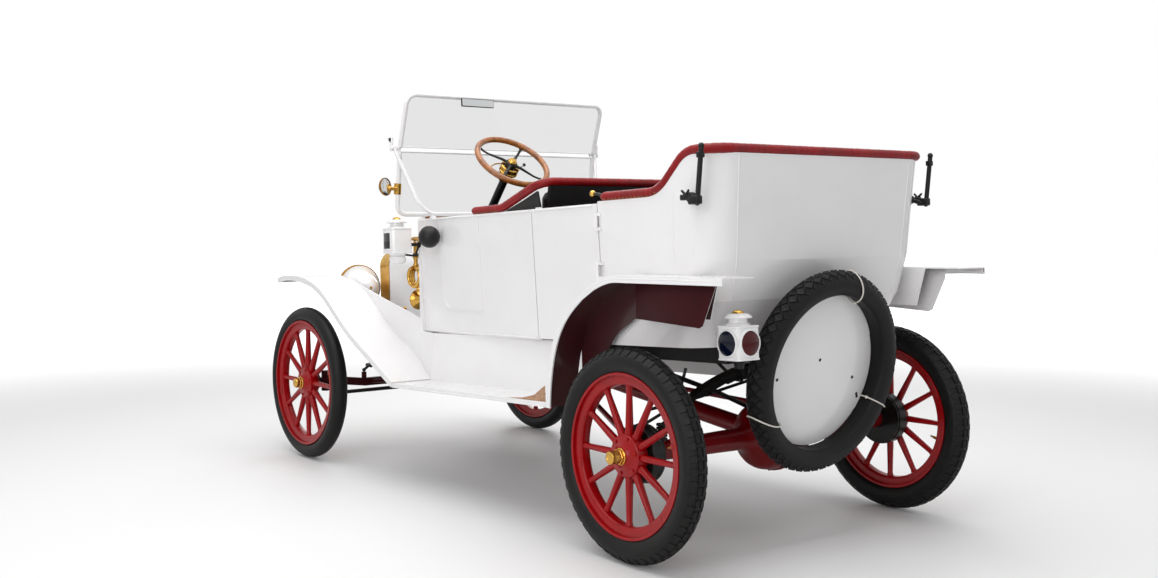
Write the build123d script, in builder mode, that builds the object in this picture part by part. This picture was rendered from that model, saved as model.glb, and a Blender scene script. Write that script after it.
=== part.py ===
"""Open touring car of the early brass-lamp years, as an assembly of separate pieces.

Millimetres. Z is up, the car faces -Y and its left side is at +X.
The origin is on the ground under the middle of the car.
The wheels stand level. Frame and body ride a little higher at the back, so everything
that is carried by the springs is drawn level and placed through the raked planes below.
"""

import os
from math import cos, hypot, radians, sin, sqrt

from build123d import *

os.makedirs("parts", exist_ok=True)

# Running gear
wheelbase = 2540.0
track = 1422.0
wheel_radius = 381.0
middle_y = -36.0
front_axle_y = middle_y - wheelbase / 2
rear_axle_y = middle_y + wheelbase / 2
half_track = track / 2

# Rake of frame and body about a line across the car at frame height
rake_angle = 2.35
rake_height = 600.0

# Wheels
spoke_count = 12
front_tyre_height = 69.0
front_tyre_half_width = 39.5
rear_tyre_height = 90.0
rear_tyre_half_width = 46.0
rim_half_width = 33.0
rim_thickness = 9.0
felloe_depth = 34.0
felloe_half_width = 23.0
spoke_radius_hub = 17.0
spoke_radius_rim = 12.0
hub_barrel_radius = 37.0
hub_flange_radius = 76.0
hub_flange_half_width = 24.0
hub_cap_radius = 24.0
hub_cap_reach_front = 78.0
hub_cap_reach_rear = 94.0
hub_inner_reach = 52.0
hub_bore_radius = 17.0
hub_bore_depth = 80.0
running_fit = 0.1
brake_drum_radius = 104.0
brake_drum_width = 46.0
brake_drum_wall = 6.0

# Axles and steering
axle_beam_half_height = 20.0
axle_beam_half_width = 14.0
axle_drop = 24.0
kingpin_x = 618.0
kingpin_radius = 9.0
knuckle_boss_radius = 19.0
knuckle_boss_height = 62.0
fork_height = 18.0
steer_gap = 2.0
steering_arm_length = 128.0
tie_rod_radius = 9.5
tie_rod_drop = 30.0
tie_pin_radius = 6.0
rear_axle_tube_radius = 34.0
differential_radius = 132.0
differential_half_width = 92.0
torque_tube_radius = 36.0
radius_rod_radius = 11.0
wishbone_ball_radius = 26.0
wishbone_ball_z = 450.0
torque_tube_length = 1480.0

# Engine
engine_bottom = 541.0
engine_top = 973.0

# Frame
rail_x = 246.0
rail_height = 76.0
rail_width = 38.0
rail_thickness = 6.0
frame_top = 694.0
crossmember_width = 64.0
frame_front_y = front_axle_y - crossmember_width / 2
frame_rear_y = rear_axle_y + crossmember_width / 2
shelf_width = 36.0
bracket_radius = 8.0

# Springs
leaf_width = 44.0
leaf_thickness = 7.0
leaf_count = 7
front_spring_half = 395.0
rear_spring_half = 560.0

# Body
wall = 22.0
panel_gap = 6.0
body_bottom = 694.0
body_top = 1230.0
body_front_y = front_axle_y + 732.0
seam_y = rear_axle_y - 820.0
pillar_y = rear_axle_y - 345.0
front_half_bottom = 451.0
front_half_top = 476.0
pillar_half_bottom = 533.0
pillar_half_top = 566.0
corner_radius = 118.0
tub_top = 1372.0
tub_arm_top = 1238.0
tub_rise_start_y = rear_axle_y + 14.0
tub_rise_end_y = rear_axle_y + 172.0
tub_rise_bend = 180.0
tub_shoulder_bend = 120.0
roll_radius = 15.0
roll_gap = 0.4
front_roll_right_shift = 78.0
front_roll_start_y = body_front_y + 484.0
front_roll_rise_y = body_front_y + 740.0
front_roll_corner_y = seam_y + 52.0
front_roll_low_z = body_top + roll_radius + roll_gap
front_roll_top_z = 1342.0
front_roll_half = 508.0

# Front passenger door and its dummy on the driver's side
front_door_front_y = body_front_y + 190.0
front_door_rear_y = body_front_y + 550.0
front_door_bottom = 808.0
front_door_corner = 70.0
bead_height = 4.0
bead_width = 9.0
back_board_thickness = 18.0

# Rear doors
rear_door_bottom = 693.0
rear_door_corner = 286.0
door_arc_top = rear_door_bottom + rear_door_corner
hinge_radius = 6.0
hinge_reach = 7.0
hinge_pin_radius = 3.0
hinge_length = 42.0
hinge_leaf = 18.0
hinge_heights = (body_top - 70.0, body_top - 255.0)

# Fenders and running boards
fender_outer_x = 705.0
fender_sheet = 4.0
fender_lip = 26.0
board_top = 478.0
board_thickness = 20.0
board_inner_x = 500.0
board_front_y = front_axle_y + 838.0
board_rear_y = rear_axle_y - 506.0
front_fender_inner_x = 462.0
rear_fender_inner_x = 559.0
skirt_depth = 150.0

# Dash, hood and radiator
dash_half_width = 470.0
dash_thickness = 22.0
dash_top = 1242.6
dash_bottom = frame_top
dash_y = body_front_y - dash_thickness
hood_side_x = 258.0
hood_shoulder_z = 1068.0
hood_top_z = 1118.0
hood_bottom_z = frame_top + 1.0
hood_sheet = 4.0
hood_rod_radius = 3.0
hood_front_y = front_axle_y + 46.0
ledge_width = 14.0
ledge_top_z = 1030.0
hood_gap = 6.0
hood_ledge = 22.0
hood_rear_y = dash_y - hood_ledge - hood_gap
radiator_half_width = 258.0
radiator_depth = 96.0
radiator_bottom_z = frame_top
radiator_front_y = hood_front_y - radiator_depth - hood_gap

# Windshield
screen_tube = 11.0
screen_half_width = 575.0
screen_base_y = front_axle_y + 700.0
screen_base_z = 1254.0
screen_hinge_y = front_axle_y + 744.0
screen_hinge_z = 1562.0
screen_pivot_forward = 15.0
screen_top_y = front_axle_y + 827.0
screen_top_z = 1806.0
screen_corner = 46.0
glass_thickness = 6.0

# Steering column
column_x = 290.0
column_tilt = 41.7
steering_centre_y = front_axle_y + 1254.0
steering_centre_z = 1467.0
steering_wheel_radius = 181.0
steering_rim_radius = 12.5
column_radius = 19.0
column_length = 1140.0
pitman_distance = -1153.4
pitman_ball_radius = 12.0

# Seats
seat_top = 985.0
front_seat_front_y = rear_axle_y - 1240.0
front_seat_back_y = rear_axle_y - 776.0
front_seat_back_top = 1325.0
front_back_thickness = 90.0
soft_gap = 0.5
floor_thickness = 20.0
door_clearance = 7.0
arm_panel_thickness = 14.0
arm_start_y = body_front_y + 740.0
rear_back_thickness = 100.0
rear_seat_front_y = rear_axle_y - 250.0

# Spare tyre on the back
spare_y = rear_axle_y + 274.0
spare_z = 585.0
spare_lean = 12.0
spare_x = 10.0

# Lamps and horn
lamp_box = 108.0
lamp_box_height = 118.0
lamp_bevel = 30.0
lamp_bracket_radius = 9.0
headlamp_x = 340.0
headlamp_y = front_axle_y - 158.0
headlamp_z = 898.0
headlamp_rim_radius = 125.0
side_lamp_x = 572.0
tail_lamp_x = 490.0
horn_ball_radius = 50.0
top_iron_x = 617.0
mirror_radius = 50.0

rearward = Vector(0, cos(radians(rake_angle)), sin(radians(rake_angle)))
upward = Vector(0, -sin(radians(rake_angle)), cos(radians(rake_angle)))


def sprung(x, y, z):
    """Place of a point of the raked body in the car's own frame."""
    pivot = Vector(x, middle_y, rake_height)
    return pivot + rearward * (y - middle_y) + upward * (z - rake_height)


def side_plane(x):
    """Plane for a side view, with sketch axes along the car and up it, facing +X."""
    return Plane(origin=sprung(x, 0, 0), x_dir=rearward, z_dir=(1, 0, 0))


def cross_plane(y):
    """Plane across the car, with sketch axes along +X and up it, facing forward."""
    return Plane(origin=sprung(0, y, 0), x_dir=(1, 0, 0), z_dir=-rearward)


def level_plane(z):
    """Plane seen from above, with sketch axes along +X and along the car, facing up."""
    return Plane(origin=sprung(0, 0, z), x_dir=(1, 0, 0), z_dir=upward)


def rod(start, end, radius):
    """Round bar between two points, added to the piece that is being built."""
    run = Vector(*end) - Vector(*start)
    middle = (Vector(*start) + Vector(*end)) * 0.5
    with Locations(Plane(origin=middle, z_dir=run.normalized()).location):
        Cylinder(radius, run.length)


def tube_run(points, radius, bends):
    """Bent round tube along points, with one bend radius for each inner point."""
    with BuildLine() as line:
        FilletPolyline(*points, radius=bends)
    start = line.line @ 0
    with BuildSketch(Plane(origin=start, z_dir=line.line % 0)) as section:
        Circle(radius)
    sweep(section.sketch, path=line.line)


def slab(face, side, inner_x, outer_x):
    """Side view pulled out between two distances from the middle of the car."""
    with BuildPart(mode=Mode.PRIVATE) as piece:
        extrude(Location((side * inner_x, 0, 0)) * face, amount=side * (outer_x - inner_x))
    return piece.part


column_rise = cos(radians(column_tilt))
column_lean = sin(radians(column_tilt))


def along_column(distance):
    """Point on the column's line, measured up from the middle of the steering wheel."""
    return sprung(
        column_x,
        steering_centre_y + distance * column_lean,
        steering_centre_z + distance * column_rise,
    )


column_direction = (along_column(1) - along_column(0)).normalized()


# Wheels and tyres


def wheel_plane(side, y):
    """Half section of a wheel: sketch x is the radius, sketch y points outboard."""
    return Plane(origin=(side * half_track, y, wheel_radius), x_dir=(0, 0, 1), z_dir=(0, side, 0))


def make_tyre(side, y, height, half_width, name):
    seat_radius = wheel_radius - height
    oval_height = height * 0.57
    with BuildPart() as tyre:
        with BuildSketch(wheel_plane(side, y)):
            with Locations((wheel_radius - oval_height, 0)):
                Ellipse(oval_height, half_width)
            with Locations((seat_radius / 2, 0)):
                Rectangle(seat_radius, 3 * half_width, mode=Mode.SUBTRACT)
        revolve(axis=Axis((side * half_track, y, wheel_radius), (side, 0, 0)))
    tyre.part.label = name
    export_step(tyre.part, "parts/" + name + ".step")


def make_wheel(side, y, tyre_height, cap_reach, has_drum, name):
    centre = (side * half_track, y, wheel_radius)
    axle_line = Axis(centre, (side, 0, 0))
    rim_radius = wheel_radius - tyre_height
    felloe_radius = rim_radius - rim_thickness
    felloe_inner = felloe_radius - felloe_depth
    with BuildPart() as wheel:
        with BuildSketch(wheel_plane(side, y)):
            with Locations((rim_radius - rim_thickness / 2, 0)):
                Rectangle(rim_thickness, 2 * rim_half_width)
            with Locations(((felloe_radius + felloe_inner) / 2, 0)):
                Rectangle(felloe_depth, 2 * felloe_half_width)
            with BuildLine():
                Polyline(
                    (0, -hub_inner_reach),
                    (hub_barrel_radius, -hub_inner_reach),
                    (hub_barrel_radius, -hub_flange_half_width),
                    (hub_flange_radius, -hub_flange_half_width),
                    (hub_flange_radius, hub_flange_half_width),
                    (hub_barrel_radius, hub_flange_half_width + 8),
                    (hub_cap_radius + 5, hub_flange_half_width + 22),
                    (hub_cap_radius, hub_flange_half_width + 26),
                    (hub_cap_radius, cap_reach - 5),
                    (hub_cap_radius - 5, cap_reach),
                    (0, cap_reach),
                    close=True,
                )
            make_face()
        revolve(axis=axle_line)
        spoke_start = hub_flange_radius - 6
        spoke_end = felloe_inner + 3
        with BuildPart(mode=Mode.PRIVATE) as spoke:
            with Locations(((spoke_start + spoke_end) / 2, 0, 0)):
                Cone(
                    spoke_radius_hub,
                    spoke_radius_rim,
                    spoke_end - spoke_start,
                    rotation=(0, 90, 0),
                )
        with Locations(Plane(origin=centre, z_dir=(side, 0, 0)).location):
            with PolarLocations(0, spoke_count):
                add(spoke.part)
        if has_drum:
            drum_face = Plane(origin=centre, z_dir=(-side, 0, 0)).offset(hub_flange_half_width)
            with BuildSketch(drum_face) as web:
                Circle(brake_drum_radius)
                Circle(hub_barrel_radius - 2, mode=Mode.SUBTRACT)
            extrude(web.sketch, amount=brake_drum_wall)
            with BuildSketch(drum_face) as band:
                Circle(brake_drum_radius)
                Circle(brake_drum_radius - brake_drum_wall, mode=Mode.SUBTRACT)
            extrude(band.sketch, amount=brake_drum_width)
        bore_start = Plane(origin=centre, z_dir=(side, 0, 0)).offset(-hub_inner_reach)
        with BuildSketch(bore_start) as bore:
            Circle(hub_bore_radius)
        extrude(bore.sketch, amount=hub_bore_depth, mode=Mode.SUBTRACT)
    wheel.part.label = name
    export_step(wheel.part, "parts/" + name + ".step")


for side, side_name in ((1, "left"), (-1, "right")):
    make_tyre(side, front_axle_y, front_tyre_height, front_tyre_half_width, "tyre_front_" + side_name)
    make_tyre(side, rear_axle_y, rear_tyre_height, rear_tyre_half_width, "tyre_rear_" + side_name)
    make_wheel(
        side, front_axle_y, front_tyre_height, hub_cap_reach_front, False, "wheel_front_" + side_name
    )
    make_wheel(side, rear_axle_y, rear_tyre_height, hub_cap_reach_rear, True, "wheel_rear_" + side_name)


# Front axle, knuckles and tie rod

spindle_radius = hub_bore_radius - running_fit
spindle_tip_x = half_track - hub_inner_reach + hub_bore_depth - 6
yoke_height = knuckle_boss_height + 2 * (steer_gap + fork_height)
arm_end_y = front_axle_y + steering_arm_length
arm_z = wheel_radius - knuckle_boss_height / 2 + 12
tie_rod_z = arm_z - tie_rod_drop

with BuildPart() as front_axle:
    beam_end_x = kingpin_x - knuckle_boss_radius - 14
    with BuildSketch(Plane.XZ.offset(-(front_axle_y + axle_beam_half_width))):
        with BuildLine():
            Polyline(
                (-beam_end_x, wheel_radius + axle_beam_half_height),
                (-beam_end_x, wheel_radius - axle_beam_half_height),
                (-front_spring_half, wheel_radius - axle_drop - axle_beam_half_height),
                (front_spring_half, wheel_radius - axle_drop - axle_beam_half_height),
                (beam_end_x, wheel_radius - axle_beam_half_height),
                (beam_end_x, wheel_radius + axle_beam_half_height),
                (front_spring_half, wheel_radius - axle_drop + axle_beam_half_height),
                (-front_spring_half, wheel_radius - axle_drop + axle_beam_half_height),
                close=True,
            )
        make_face()
    extrude(amount=2 * axle_beam_half_width)
    for side in (1, -1):
        # Forked end that holds the knuckle between two cheeks
        web_x = side * (beam_end_x - 5)
        with Locations((web_x, front_axle_y, wheel_radius)):
            Box(22, 2 * axle_beam_half_width, yoke_height)
        for level in (1, -1):
            cheek_z = wheel_radius + level * (knuckle_boss_height + fork_height + 2 * steer_gap) / 2
            with Locations(((web_x + side * kingpin_x) / 2, front_axle_y, cheek_z)):
                Box(abs(side * kingpin_x - web_x), 2 * axle_beam_half_width, fork_height)
            with Locations((side * kingpin_x, front_axle_y, cheek_z)):
                Cylinder(knuckle_boss_radius, fork_height)
        with Locations((side * kingpin_x, front_axle_y, wheel_radius)):
            Cylinder(kingpin_radius, yoke_height)
        # Spring perch
        with Locations((side * front_spring_half, front_axle_y, wheel_radius - axle_drop + 30)):
            Cylinder(13, 44)
    # Wishbone stays back to the ball under the engine
    ball = (0, front_axle_y + 860, wishbone_ball_z)
    for side in (1, -1):
        rod((side * 360, front_axle_y + 4, wheel_radius - axle_drop), ball, radius_rod_radius)
    with Locations(ball):
        Sphere(wishbone_ball_radius)
    rod(ball, (0, ball[1], engine_bottom - 18), 14)
front_axle.part.label = "front_axle"
export_step(front_axle.part, "parts/front_axle.step")


def make_knuckle(side, name):
    pin = (side * kingpin_x, front_axle_y, wheel_radius)
    with BuildPart() as knuckle:
        with Locations(pin):
            Cylinder(knuckle_boss_radius, knuckle_boss_height)
        rod(pin, (side * (half_track - hub_inner_reach - 2), front_axle_y, wheel_radius), 18)
        rod(
            (side * (kingpin_x + kingpin_radius + 4), front_axle_y, wheel_radius),
            (side * spindle_tip_x, front_axle_y, wheel_radius),
            spindle_radius,
        )
        # Arm that reaches back to the tie rod
        root = (side * kingpin_x, front_axle_y + kingpin_radius + 3, arm_z)
        end = (side * kingpin_x, arm_end_y, arm_z)
        rod(root, end, 9)
        with Locations(end):
            Cylinder(15, 20)
        with Locations((side * kingpin_x, arm_end_y, tie_rod_z + 4)):
            Cylinder(tie_pin_radius, arm_z - tie_rod_z + 20)
        with Locations(pin):
            Cylinder(kingpin_radius + running_fit, knuckle_boss_height + 20, mode=Mode.SUBTRACT)
    knuckle.part.label = name
    export_step(knuckle.part, "parts/" + name + ".step")


make_knuckle(1, "knuckle_left")
make_knuckle(-1, "knuckle_right")

with BuildPart() as tie_rod:
    rod((-kingpin_x, arm_end_y, tie_rod_z), (kingpin_x, arm_end_y, tie_rod_z), tie_rod_radius)
    for side in (1, -1):
        with Locations((side * kingpin_x, arm_end_y, tie_rod_z)):
            Cylinder(15, 22)
        with Locations((side * kingpin_x, arm_end_y, tie_rod_z)):
            Cylinder(tie_pin_radius + running_fit, 60, mode=Mode.SUBTRACT)
tie_rod.part.label = "tie_rod"
export_step(tie_rod.part, "parts/tie_rod.step")


# Rear axle with differential, torque tube and radius rods

plate_x = half_track - hub_flange_half_width - brake_drum_width - 3.0
plate_thickness = 7.0
torque_ball_z = 552.0

with BuildPart() as rear_axle:
    inner_end = half_track - hub_inner_reach - 3
    tube = rear_axle_y + rear_axle_tube_radius
    with BuildSketch(Plane.XY.offset(wheel_radius)):
        with BuildLine():
            half = differential_half_width
            Polyline(
                (-inner_end, rear_axle_y),
                (-inner_end, tube + 14),
                (-plate_x, tube + 14),
                (-plate_x, rear_axle_y + brake_drum_radius),
                (-plate_x + plate_thickness, rear_axle_y + brake_drum_radius),
                (-plate_x + plate_thickness, tube),
                (-2 * half, tube + 8),
            )
            Spline(
                (-2 * half, tube + 8),
                (-half, rear_axle_y + differential_radius * 0.86),
                (-0.2 * half, rear_axle_y + differential_radius),
                tangents=[(1, 0.05), (1, 0)],
            )
            Polyline(
                (-0.2 * half, rear_axle_y + differential_radius),
                (0, rear_axle_y + differential_radius),
                (0, rear_axle_y),
                (-inner_end, rear_axle_y),
            )
        make_face()
    revolve(axis=Axis((0, rear_axle_y, wheel_radius), (1, 0, 0)))
    mirror(about=Plane.YZ)
    tube_front = (0, rear_axle_y - torque_tube_length, torque_ball_z)
    rod((0, rear_axle_y - 60, wheel_radius), tube_front, torque_tube_radius)
    for side in (1, -1):
        rod(
            (side * (plate_x - 20), rear_axle_y, wheel_radius - 30),
            (0, tube_front[1] + 120, torque_ball_z - 30),
            radius_rod_radius,
        )
        rod(
            (side * (inner_end - 10), rear_axle_y, wheel_radius),
            (side * spindle_tip_x, rear_axle_y, wheel_radius),
            spindle_radius,
        )
        # Spring perch beside the backing plate
        with Locations((side * rear_spring_half, rear_axle_y, wheel_radius + 50)):
            Cylinder(14, 60)
rear_axle.part.label = "rear_axle"
export_step(rear_axle.part, "parts/rear_axle.step")


# Frame

bracket_z = board_top - 8 - bracket_radius - 0.3

with BuildPart() as chassis_frame:
    rail_length = frame_rear_y - frame_front_y
    for side in (1, -1):
        with BuildSketch(cross_plane(frame_rear_y)) as rail:
            with Locations((side * rail_x, frame_top - rail_height / 2)):
                Rectangle(rail_width, rail_height)
            with Locations((side * (rail_x - rail_thickness), frame_top - rail_height / 2)):
                Rectangle(rail_width, rail_height - 2 * rail_thickness, mode=Mode.SUBTRACT)
        extrude(rail.sketch, amount=rail_length)
    for cross_y in (frame_front_y, middle_y + 420, frame_rear_y - crossmember_width):
        with BuildSketch(side_plane(0)) as member:
            with Locations((cross_y + crossmember_width / 2, frame_top - rail_height / 2)):
                Rectangle(crossmember_width, rail_height)
            with Locations((cross_y + crossmember_width / 2, frame_top - rail_height / 2 - rail_thickness)):
                Rectangle(crossmember_width - 2 * rail_thickness, rail_height, mode=Mode.SUBTRACT)
        extrude(member.sketch, amount=rail_x - rail_width / 2 + rail_thickness, both=True)
    for side in (1, -1):
        # Shelf that the hood rests on, ahead of the steering column
        with BuildSketch(cross_plane(hood_front_y + 440)) as shelf:
            with Locations((side * (rail_x + rail_width / 2 + shelf_width / 2 - 2), frame_top - 3)):
                Rectangle(shelf_width, 6)
        extrude(shelf.sketch, amount=440)
        # Brackets that carry the running boards
        for bracket_y in (board_front_y + 190, board_rear_y - 190):
            knee = sprung(side * (board_inner_x - 20), bracket_y, bracket_z)
            rod(sprung(side * (rail_x + rail_width / 2 - 2), bracket_y, frame_top - 50), knee, bracket_radius)
            rod(knee, sprung(side * (fender_outer_x - 16), bracket_y, bracket_z), bracket_radius)
            with Locations(knee):
                Sphere(bracket_radius)
chassis_frame.part.label = "chassis_frame"
export_step(chassis_frame.part, "parts/chassis_frame.step")


# Transverse leaf springs


def leaf_stack(y, half_span, centre_z, eye_z):
    """Bowed stack of leaves across the car, each shorter than the one above it."""
    drop = centre_z - eye_z
    bow_radius = (half_span * half_span + drop * drop) / (2 * drop)

    def on_leaf(x, leaf):
        radius = bow_radius - leaf * leaf_thickness
        return (x, centre_z - bow_radius + sqrt(radius * radius - x * x))

    reach = [half_span * (1 - leaf / (leaf_count + 0.6)) for leaf in range(leaf_count)]
    with BuildSketch(Plane.XZ.offset(-(y + leaf_width / 2))) as stack:
        with BuildLine():
            ThreePointArc(on_leaf(-reach[0], 0), on_leaf(0, 0), on_leaf(reach[0], 0))
            for side in (1, -1):
                for leaf in range(leaf_count):
                    x = side * reach[leaf]
                    Line(on_leaf(x, leaf), on_leaf(x, leaf + 1))
                    if leaf + 1 < leaf_count:
                        next_x = side * reach[leaf + 1]
                        middle_x = (x + next_x) / 2
                        ThreePointArc(
                            on_leaf(x, leaf + 1), on_leaf(middle_x, leaf + 1), on_leaf(next_x, leaf + 1)
                        )
            ThreePointArc(
                on_leaf(-reach[-1], leaf_count), on_leaf(0, leaf_count), on_leaf(reach[-1], leaf_count)
            )
        make_face()
    extrude(stack.sketch, amount=leaf_width)


def make_spring(y, half_span, eye_z, name):
    seat = sprung(0, y, frame_top - rail_height)
    with BuildPart() as spring:
        leaf_stack(y, half_span - 30, seat.Z - 3, eye_z + 36)
        for side in (1, -1):
            # Eye and shackle down to the perch
            eye_x = side * (half_span - 30)
            rod((eye_x, y - leaf_width / 2, eye_z + 32), (eye_x, y + leaf_width / 2, eye_z + 32), 10)
            rod((eye_x, y, eye_z + 32), (side * half_span, y, eye_z + 10), 7)
            with Locations((side * half_span, y, eye_z + 10)):
                Sphere(9.8)
        # Clamp inside the frame's crossmember
        clamp_top = seat.Z + rail_height - rail_thickness - 1.05
        with Locations((0, y, (seat.Z - 56 + clamp_top) / 2)):
            Box(70, crossmember_width - 2 * rail_thickness - 16, clamp_top - seat.Z + 56)
    spring.part.label = name
    export_step(spring.part, "parts/" + name + ".step")


make_spring(front_axle_y, front_spring_half, wheel_radius - axle_drop + 52, "front_spring")
make_spring(rear_axle_y, rear_spring_half, wheel_radius + 80, "rear_spring")


# Engine and gearbox as one block

engine_base_half = 125.0
engine_block_half = 95.0
engine_front_y = front_axle_y + 100.0
gearbox_rear_y = rear_axle_y - torque_tube_length - 5.3

with BuildPart() as engine:
    with BuildSketch(cross_plane(gearbox_rear_y)) as lower:
        with Locations((0, (engine_bottom + frame_top) / 2 - 3)):
            Rectangle(2 * engine_base_half, frame_top - engine_bottom - 6)
    extrude(lower.sketch, amount=gearbox_rear_y - engine_front_y)
    with BuildSketch(cross_plane(dash_y - 30)) as upper:
        with Locations((0, (frame_top + engine_top) / 2 - 5)):
            Rectangle(2 * engine_block_half, engine_top - frame_top + 10)
    extrude(upper.sketch, amount=dash_y - 30 - engine_front_y)
    # Arms that rest in the frame's side rails
    with BuildSketch(cross_plane(engine_front_y + 460)) as arms:
        with Locations((0, frame_top - rail_height + rail_thickness + 0.3 + 14)):
            Rectangle(2 * (rail_x + 10), 28)
    extrude(arms.sketch, amount=44)
engine.part.label = "engine"
export_step(engine.part, "parts/engine.step")


# Hood, radiator and dash


def hood_profile(x_side, z_shoulder, z_top, z_bottom):
    """Closed half outline of the hood, from the middle line to the left side."""
    with BuildLine() as outline:
        Line((0, z_bottom), (x_side, z_bottom))
        Line((x_side, z_bottom), (x_side, z_shoulder - 60))
        side_end = (x_side, z_shoulder - 60)
        Spline(
            side_end,
            (x_side * 0.86, z_shoulder + 8),
            (0, z_top),
            tangents=[(0, 1), (-1, 0)],
        )
        Line((0, z_top), (0, z_bottom))
    return outline.line


with BuildPart() as radiator:
    with BuildSketch(cross_plane(radiator_front_y + radiator_depth)) as shell:
        add(hood_profile(radiator_half_width, hood_shoulder_z, hood_top_z, radiator_bottom_z))
        make_face()
        mirror(about=Plane.YZ)
    extrude(shell.sketch, amount=radiator_depth)
    with BuildSketch(cross_plane(radiator_front_y)) as core:
        with Locations((0, (radiator_bottom_z + hood_shoulder_z) / 2 - 20)):
            RectangleRounded(2 * radiator_half_width - 76, hood_shoulder_z - radiator_bottom_z - 130, 24)
    extrude(core.sketch, amount=-14, mode=Mode.SUBTRACT)
    with Locations(level_plane(hood_top_z - 4) * Location((0, radiator_front_y + radiator_depth / 2, 0))):
        Cylinder(26, 30, align=(Align.CENTER, Align.CENTER, Align.MIN))
        Cylinder(34, 12, align=(Align.CENTER, Align.CENTER, Align.MIN))
    # Rod between the hood's two halves
    rod(
        sprung(0, hood_front_y - hood_gap - 10, hood_top_z - hood_sheet / 2),
        sprung(0, dash_y - hood_ledge - 0.3, hood_top_z - hood_sheet / 2),
        hood_rod_radius,
    )
radiator.part.label = "radiator"
export_step(radiator.part, "parts/radiator.step")


def column_place(z):
    """Distance along the car of the steering column's line at one height."""
    return steering_centre_y - (steering_centre_z - z) * column_lean / column_rise


notch_margin = 20.0
notch_top_z = 874.0
column_notch = (
    (hood_rear_y + hood_gap, notch_top_z),
    (column_place(notch_top_z) - 2.5 * notch_margin, notch_top_z),
    (column_place(hood_bottom_z) - 2.5 * notch_margin, hood_bottom_z - notch_margin),
    (hood_rear_y + hood_gap, hood_bottom_z - notch_margin),
)


def make_hood(side, name):
    length = hood_rear_y - hood_front_y
    with BuildPart() as hood:
        with BuildSketch(cross_plane(hood_rear_y)) as outer:
            add(hood_profile(hood_side_x, hood_shoulder_z, hood_top_z, hood_bottom_z))
            make_face()
        extrude(outer.sketch, amount=length)
        with BuildSketch(cross_plane(dash_y)) as inner:
            add(
                hood_profile(
                    hood_side_x - hood_sheet,
                    hood_shoulder_z - hood_sheet,
                    hood_top_z - hood_sheet,
                    hood_bottom_z - 20,
                )
            )
            make_face()
        extrude(inner.sketch, amount=length + 20, mode=Mode.SUBTRACT)
        with BuildSketch(cross_plane(dash_y)) as middle:
            Rectangle(2 * (hood_rod_radius + 1), 3000)
        extrude(middle.sketch, amount=length + 60, mode=Mode.SUBTRACT)
        if side > 0:
            # Lower corner cut away round the steering column
            with BuildSketch(side_plane(0)) as column_room:
                with BuildLine():
                    Polyline(*column_notch, close=True)
                make_face()
            extrude(column_room.sketch, amount=900, mode=Mode.SUBTRACT)
        if side < 0:
            mirror(about=Plane.YZ, mode=Mode.REPLACE)
    hood.part.label = name
    export_step(hood.part, "parts/" + name + ".step")


make_hood(1, "hood_left")
make_hood(-1, "hood_right")

with BuildPart() as dash:
    with BuildSketch(cross_plane(dash_y + dash_thickness)) as board:
        with Locations((0, (dash_top + dash_bottom) / 2)):
            Rectangle(2 * dash_half_width, dash_top - dash_bottom)
    extrude(board.sketch, amount=dash_thickness)
    top_corners = dash.edges().filter_by(lambda edge: abs(edge.length - dash_thickness) < 0.1)
    fillet(top_corners.sort_by(Axis.Z)[-2:], 26)
    # Ledge behind the hood, with the hood's own outline
    with BuildSketch(cross_plane(dash_y)) as ledge:
        add(hood_profile(hood_side_x, hood_shoulder_z, hood_top_z, hood_bottom_z))
        make_face()
        mirror(about=Plane.YZ)
        ledge_inner = hood_side_x - ledge_width
        with Locations((0, (hood_bottom_z + ledge_top_z) / 2 - 1)):
            Rectangle(2 * ledge_inner, ledge_top_z - hood_bottom_z + 2, mode=Mode.SUBTRACT)
    extrude(ledge.sketch, amount=hood_ledge)
    # Hole for the steering column
    hole_start = along_column(-column_length)
    with Locations(Plane(origin=hole_start, z_dir=column_direction).location):
        Cylinder(
            column_radius + 1.5,
            column_length,
            align=(Align.CENTER, Align.CENTER, Align.MIN),
            mode=Mode.SUBTRACT,
        )
dash.part.label = "dash"
export_step(dash.part, "parts/dash.step")


# Body shell, drawn whole and then split where its panels meet

station_heights = (body_bottom, 860.0, 1000.0, 1420.0)
rear_half_widths = (500.0, 548.0, 560.0, 580.0)
back_offsets = (140.0, 236.0, 276.0, 326.0)
front_back_half = 470.0


def share_of_height(z):
    return (z - station_heights[0]) / (station_heights[-1] - station_heights[0])


def at_height(values, z):
    """Value at one height between the stations, from a value for each station."""
    for level in range(len(station_heights) - 2):
        if z <= station_heights[level + 1]:
            break
    else:
        level = len(station_heights) - 2
    low = station_heights[level]
    part_up = (z - low) / (station_heights[level + 1] - low)
    return values[level] + (values[level + 1] - values[level]) * part_up


def body_half_width(y, z):
    """Half width of the outer body at one place along it and one height."""
    part_up = share_of_height(z)
    front_half = front_half_bottom + (front_half_top - front_half_bottom) * part_up
    pillar_half = pillar_half_bottom + (pillar_half_top - pillar_half_bottom) * part_up
    if y <= pillar_y:
        share = (y - body_front_y) / (pillar_y - body_front_y)
        return front_half + (pillar_half - front_half) * share
    back_y = rear_axle_y + at_height(back_offsets, z)
    share = (y - pillar_y) / (back_y - pillar_y)
    return pillar_half + (at_height(rear_half_widths, z) - pillar_half) * share


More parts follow.
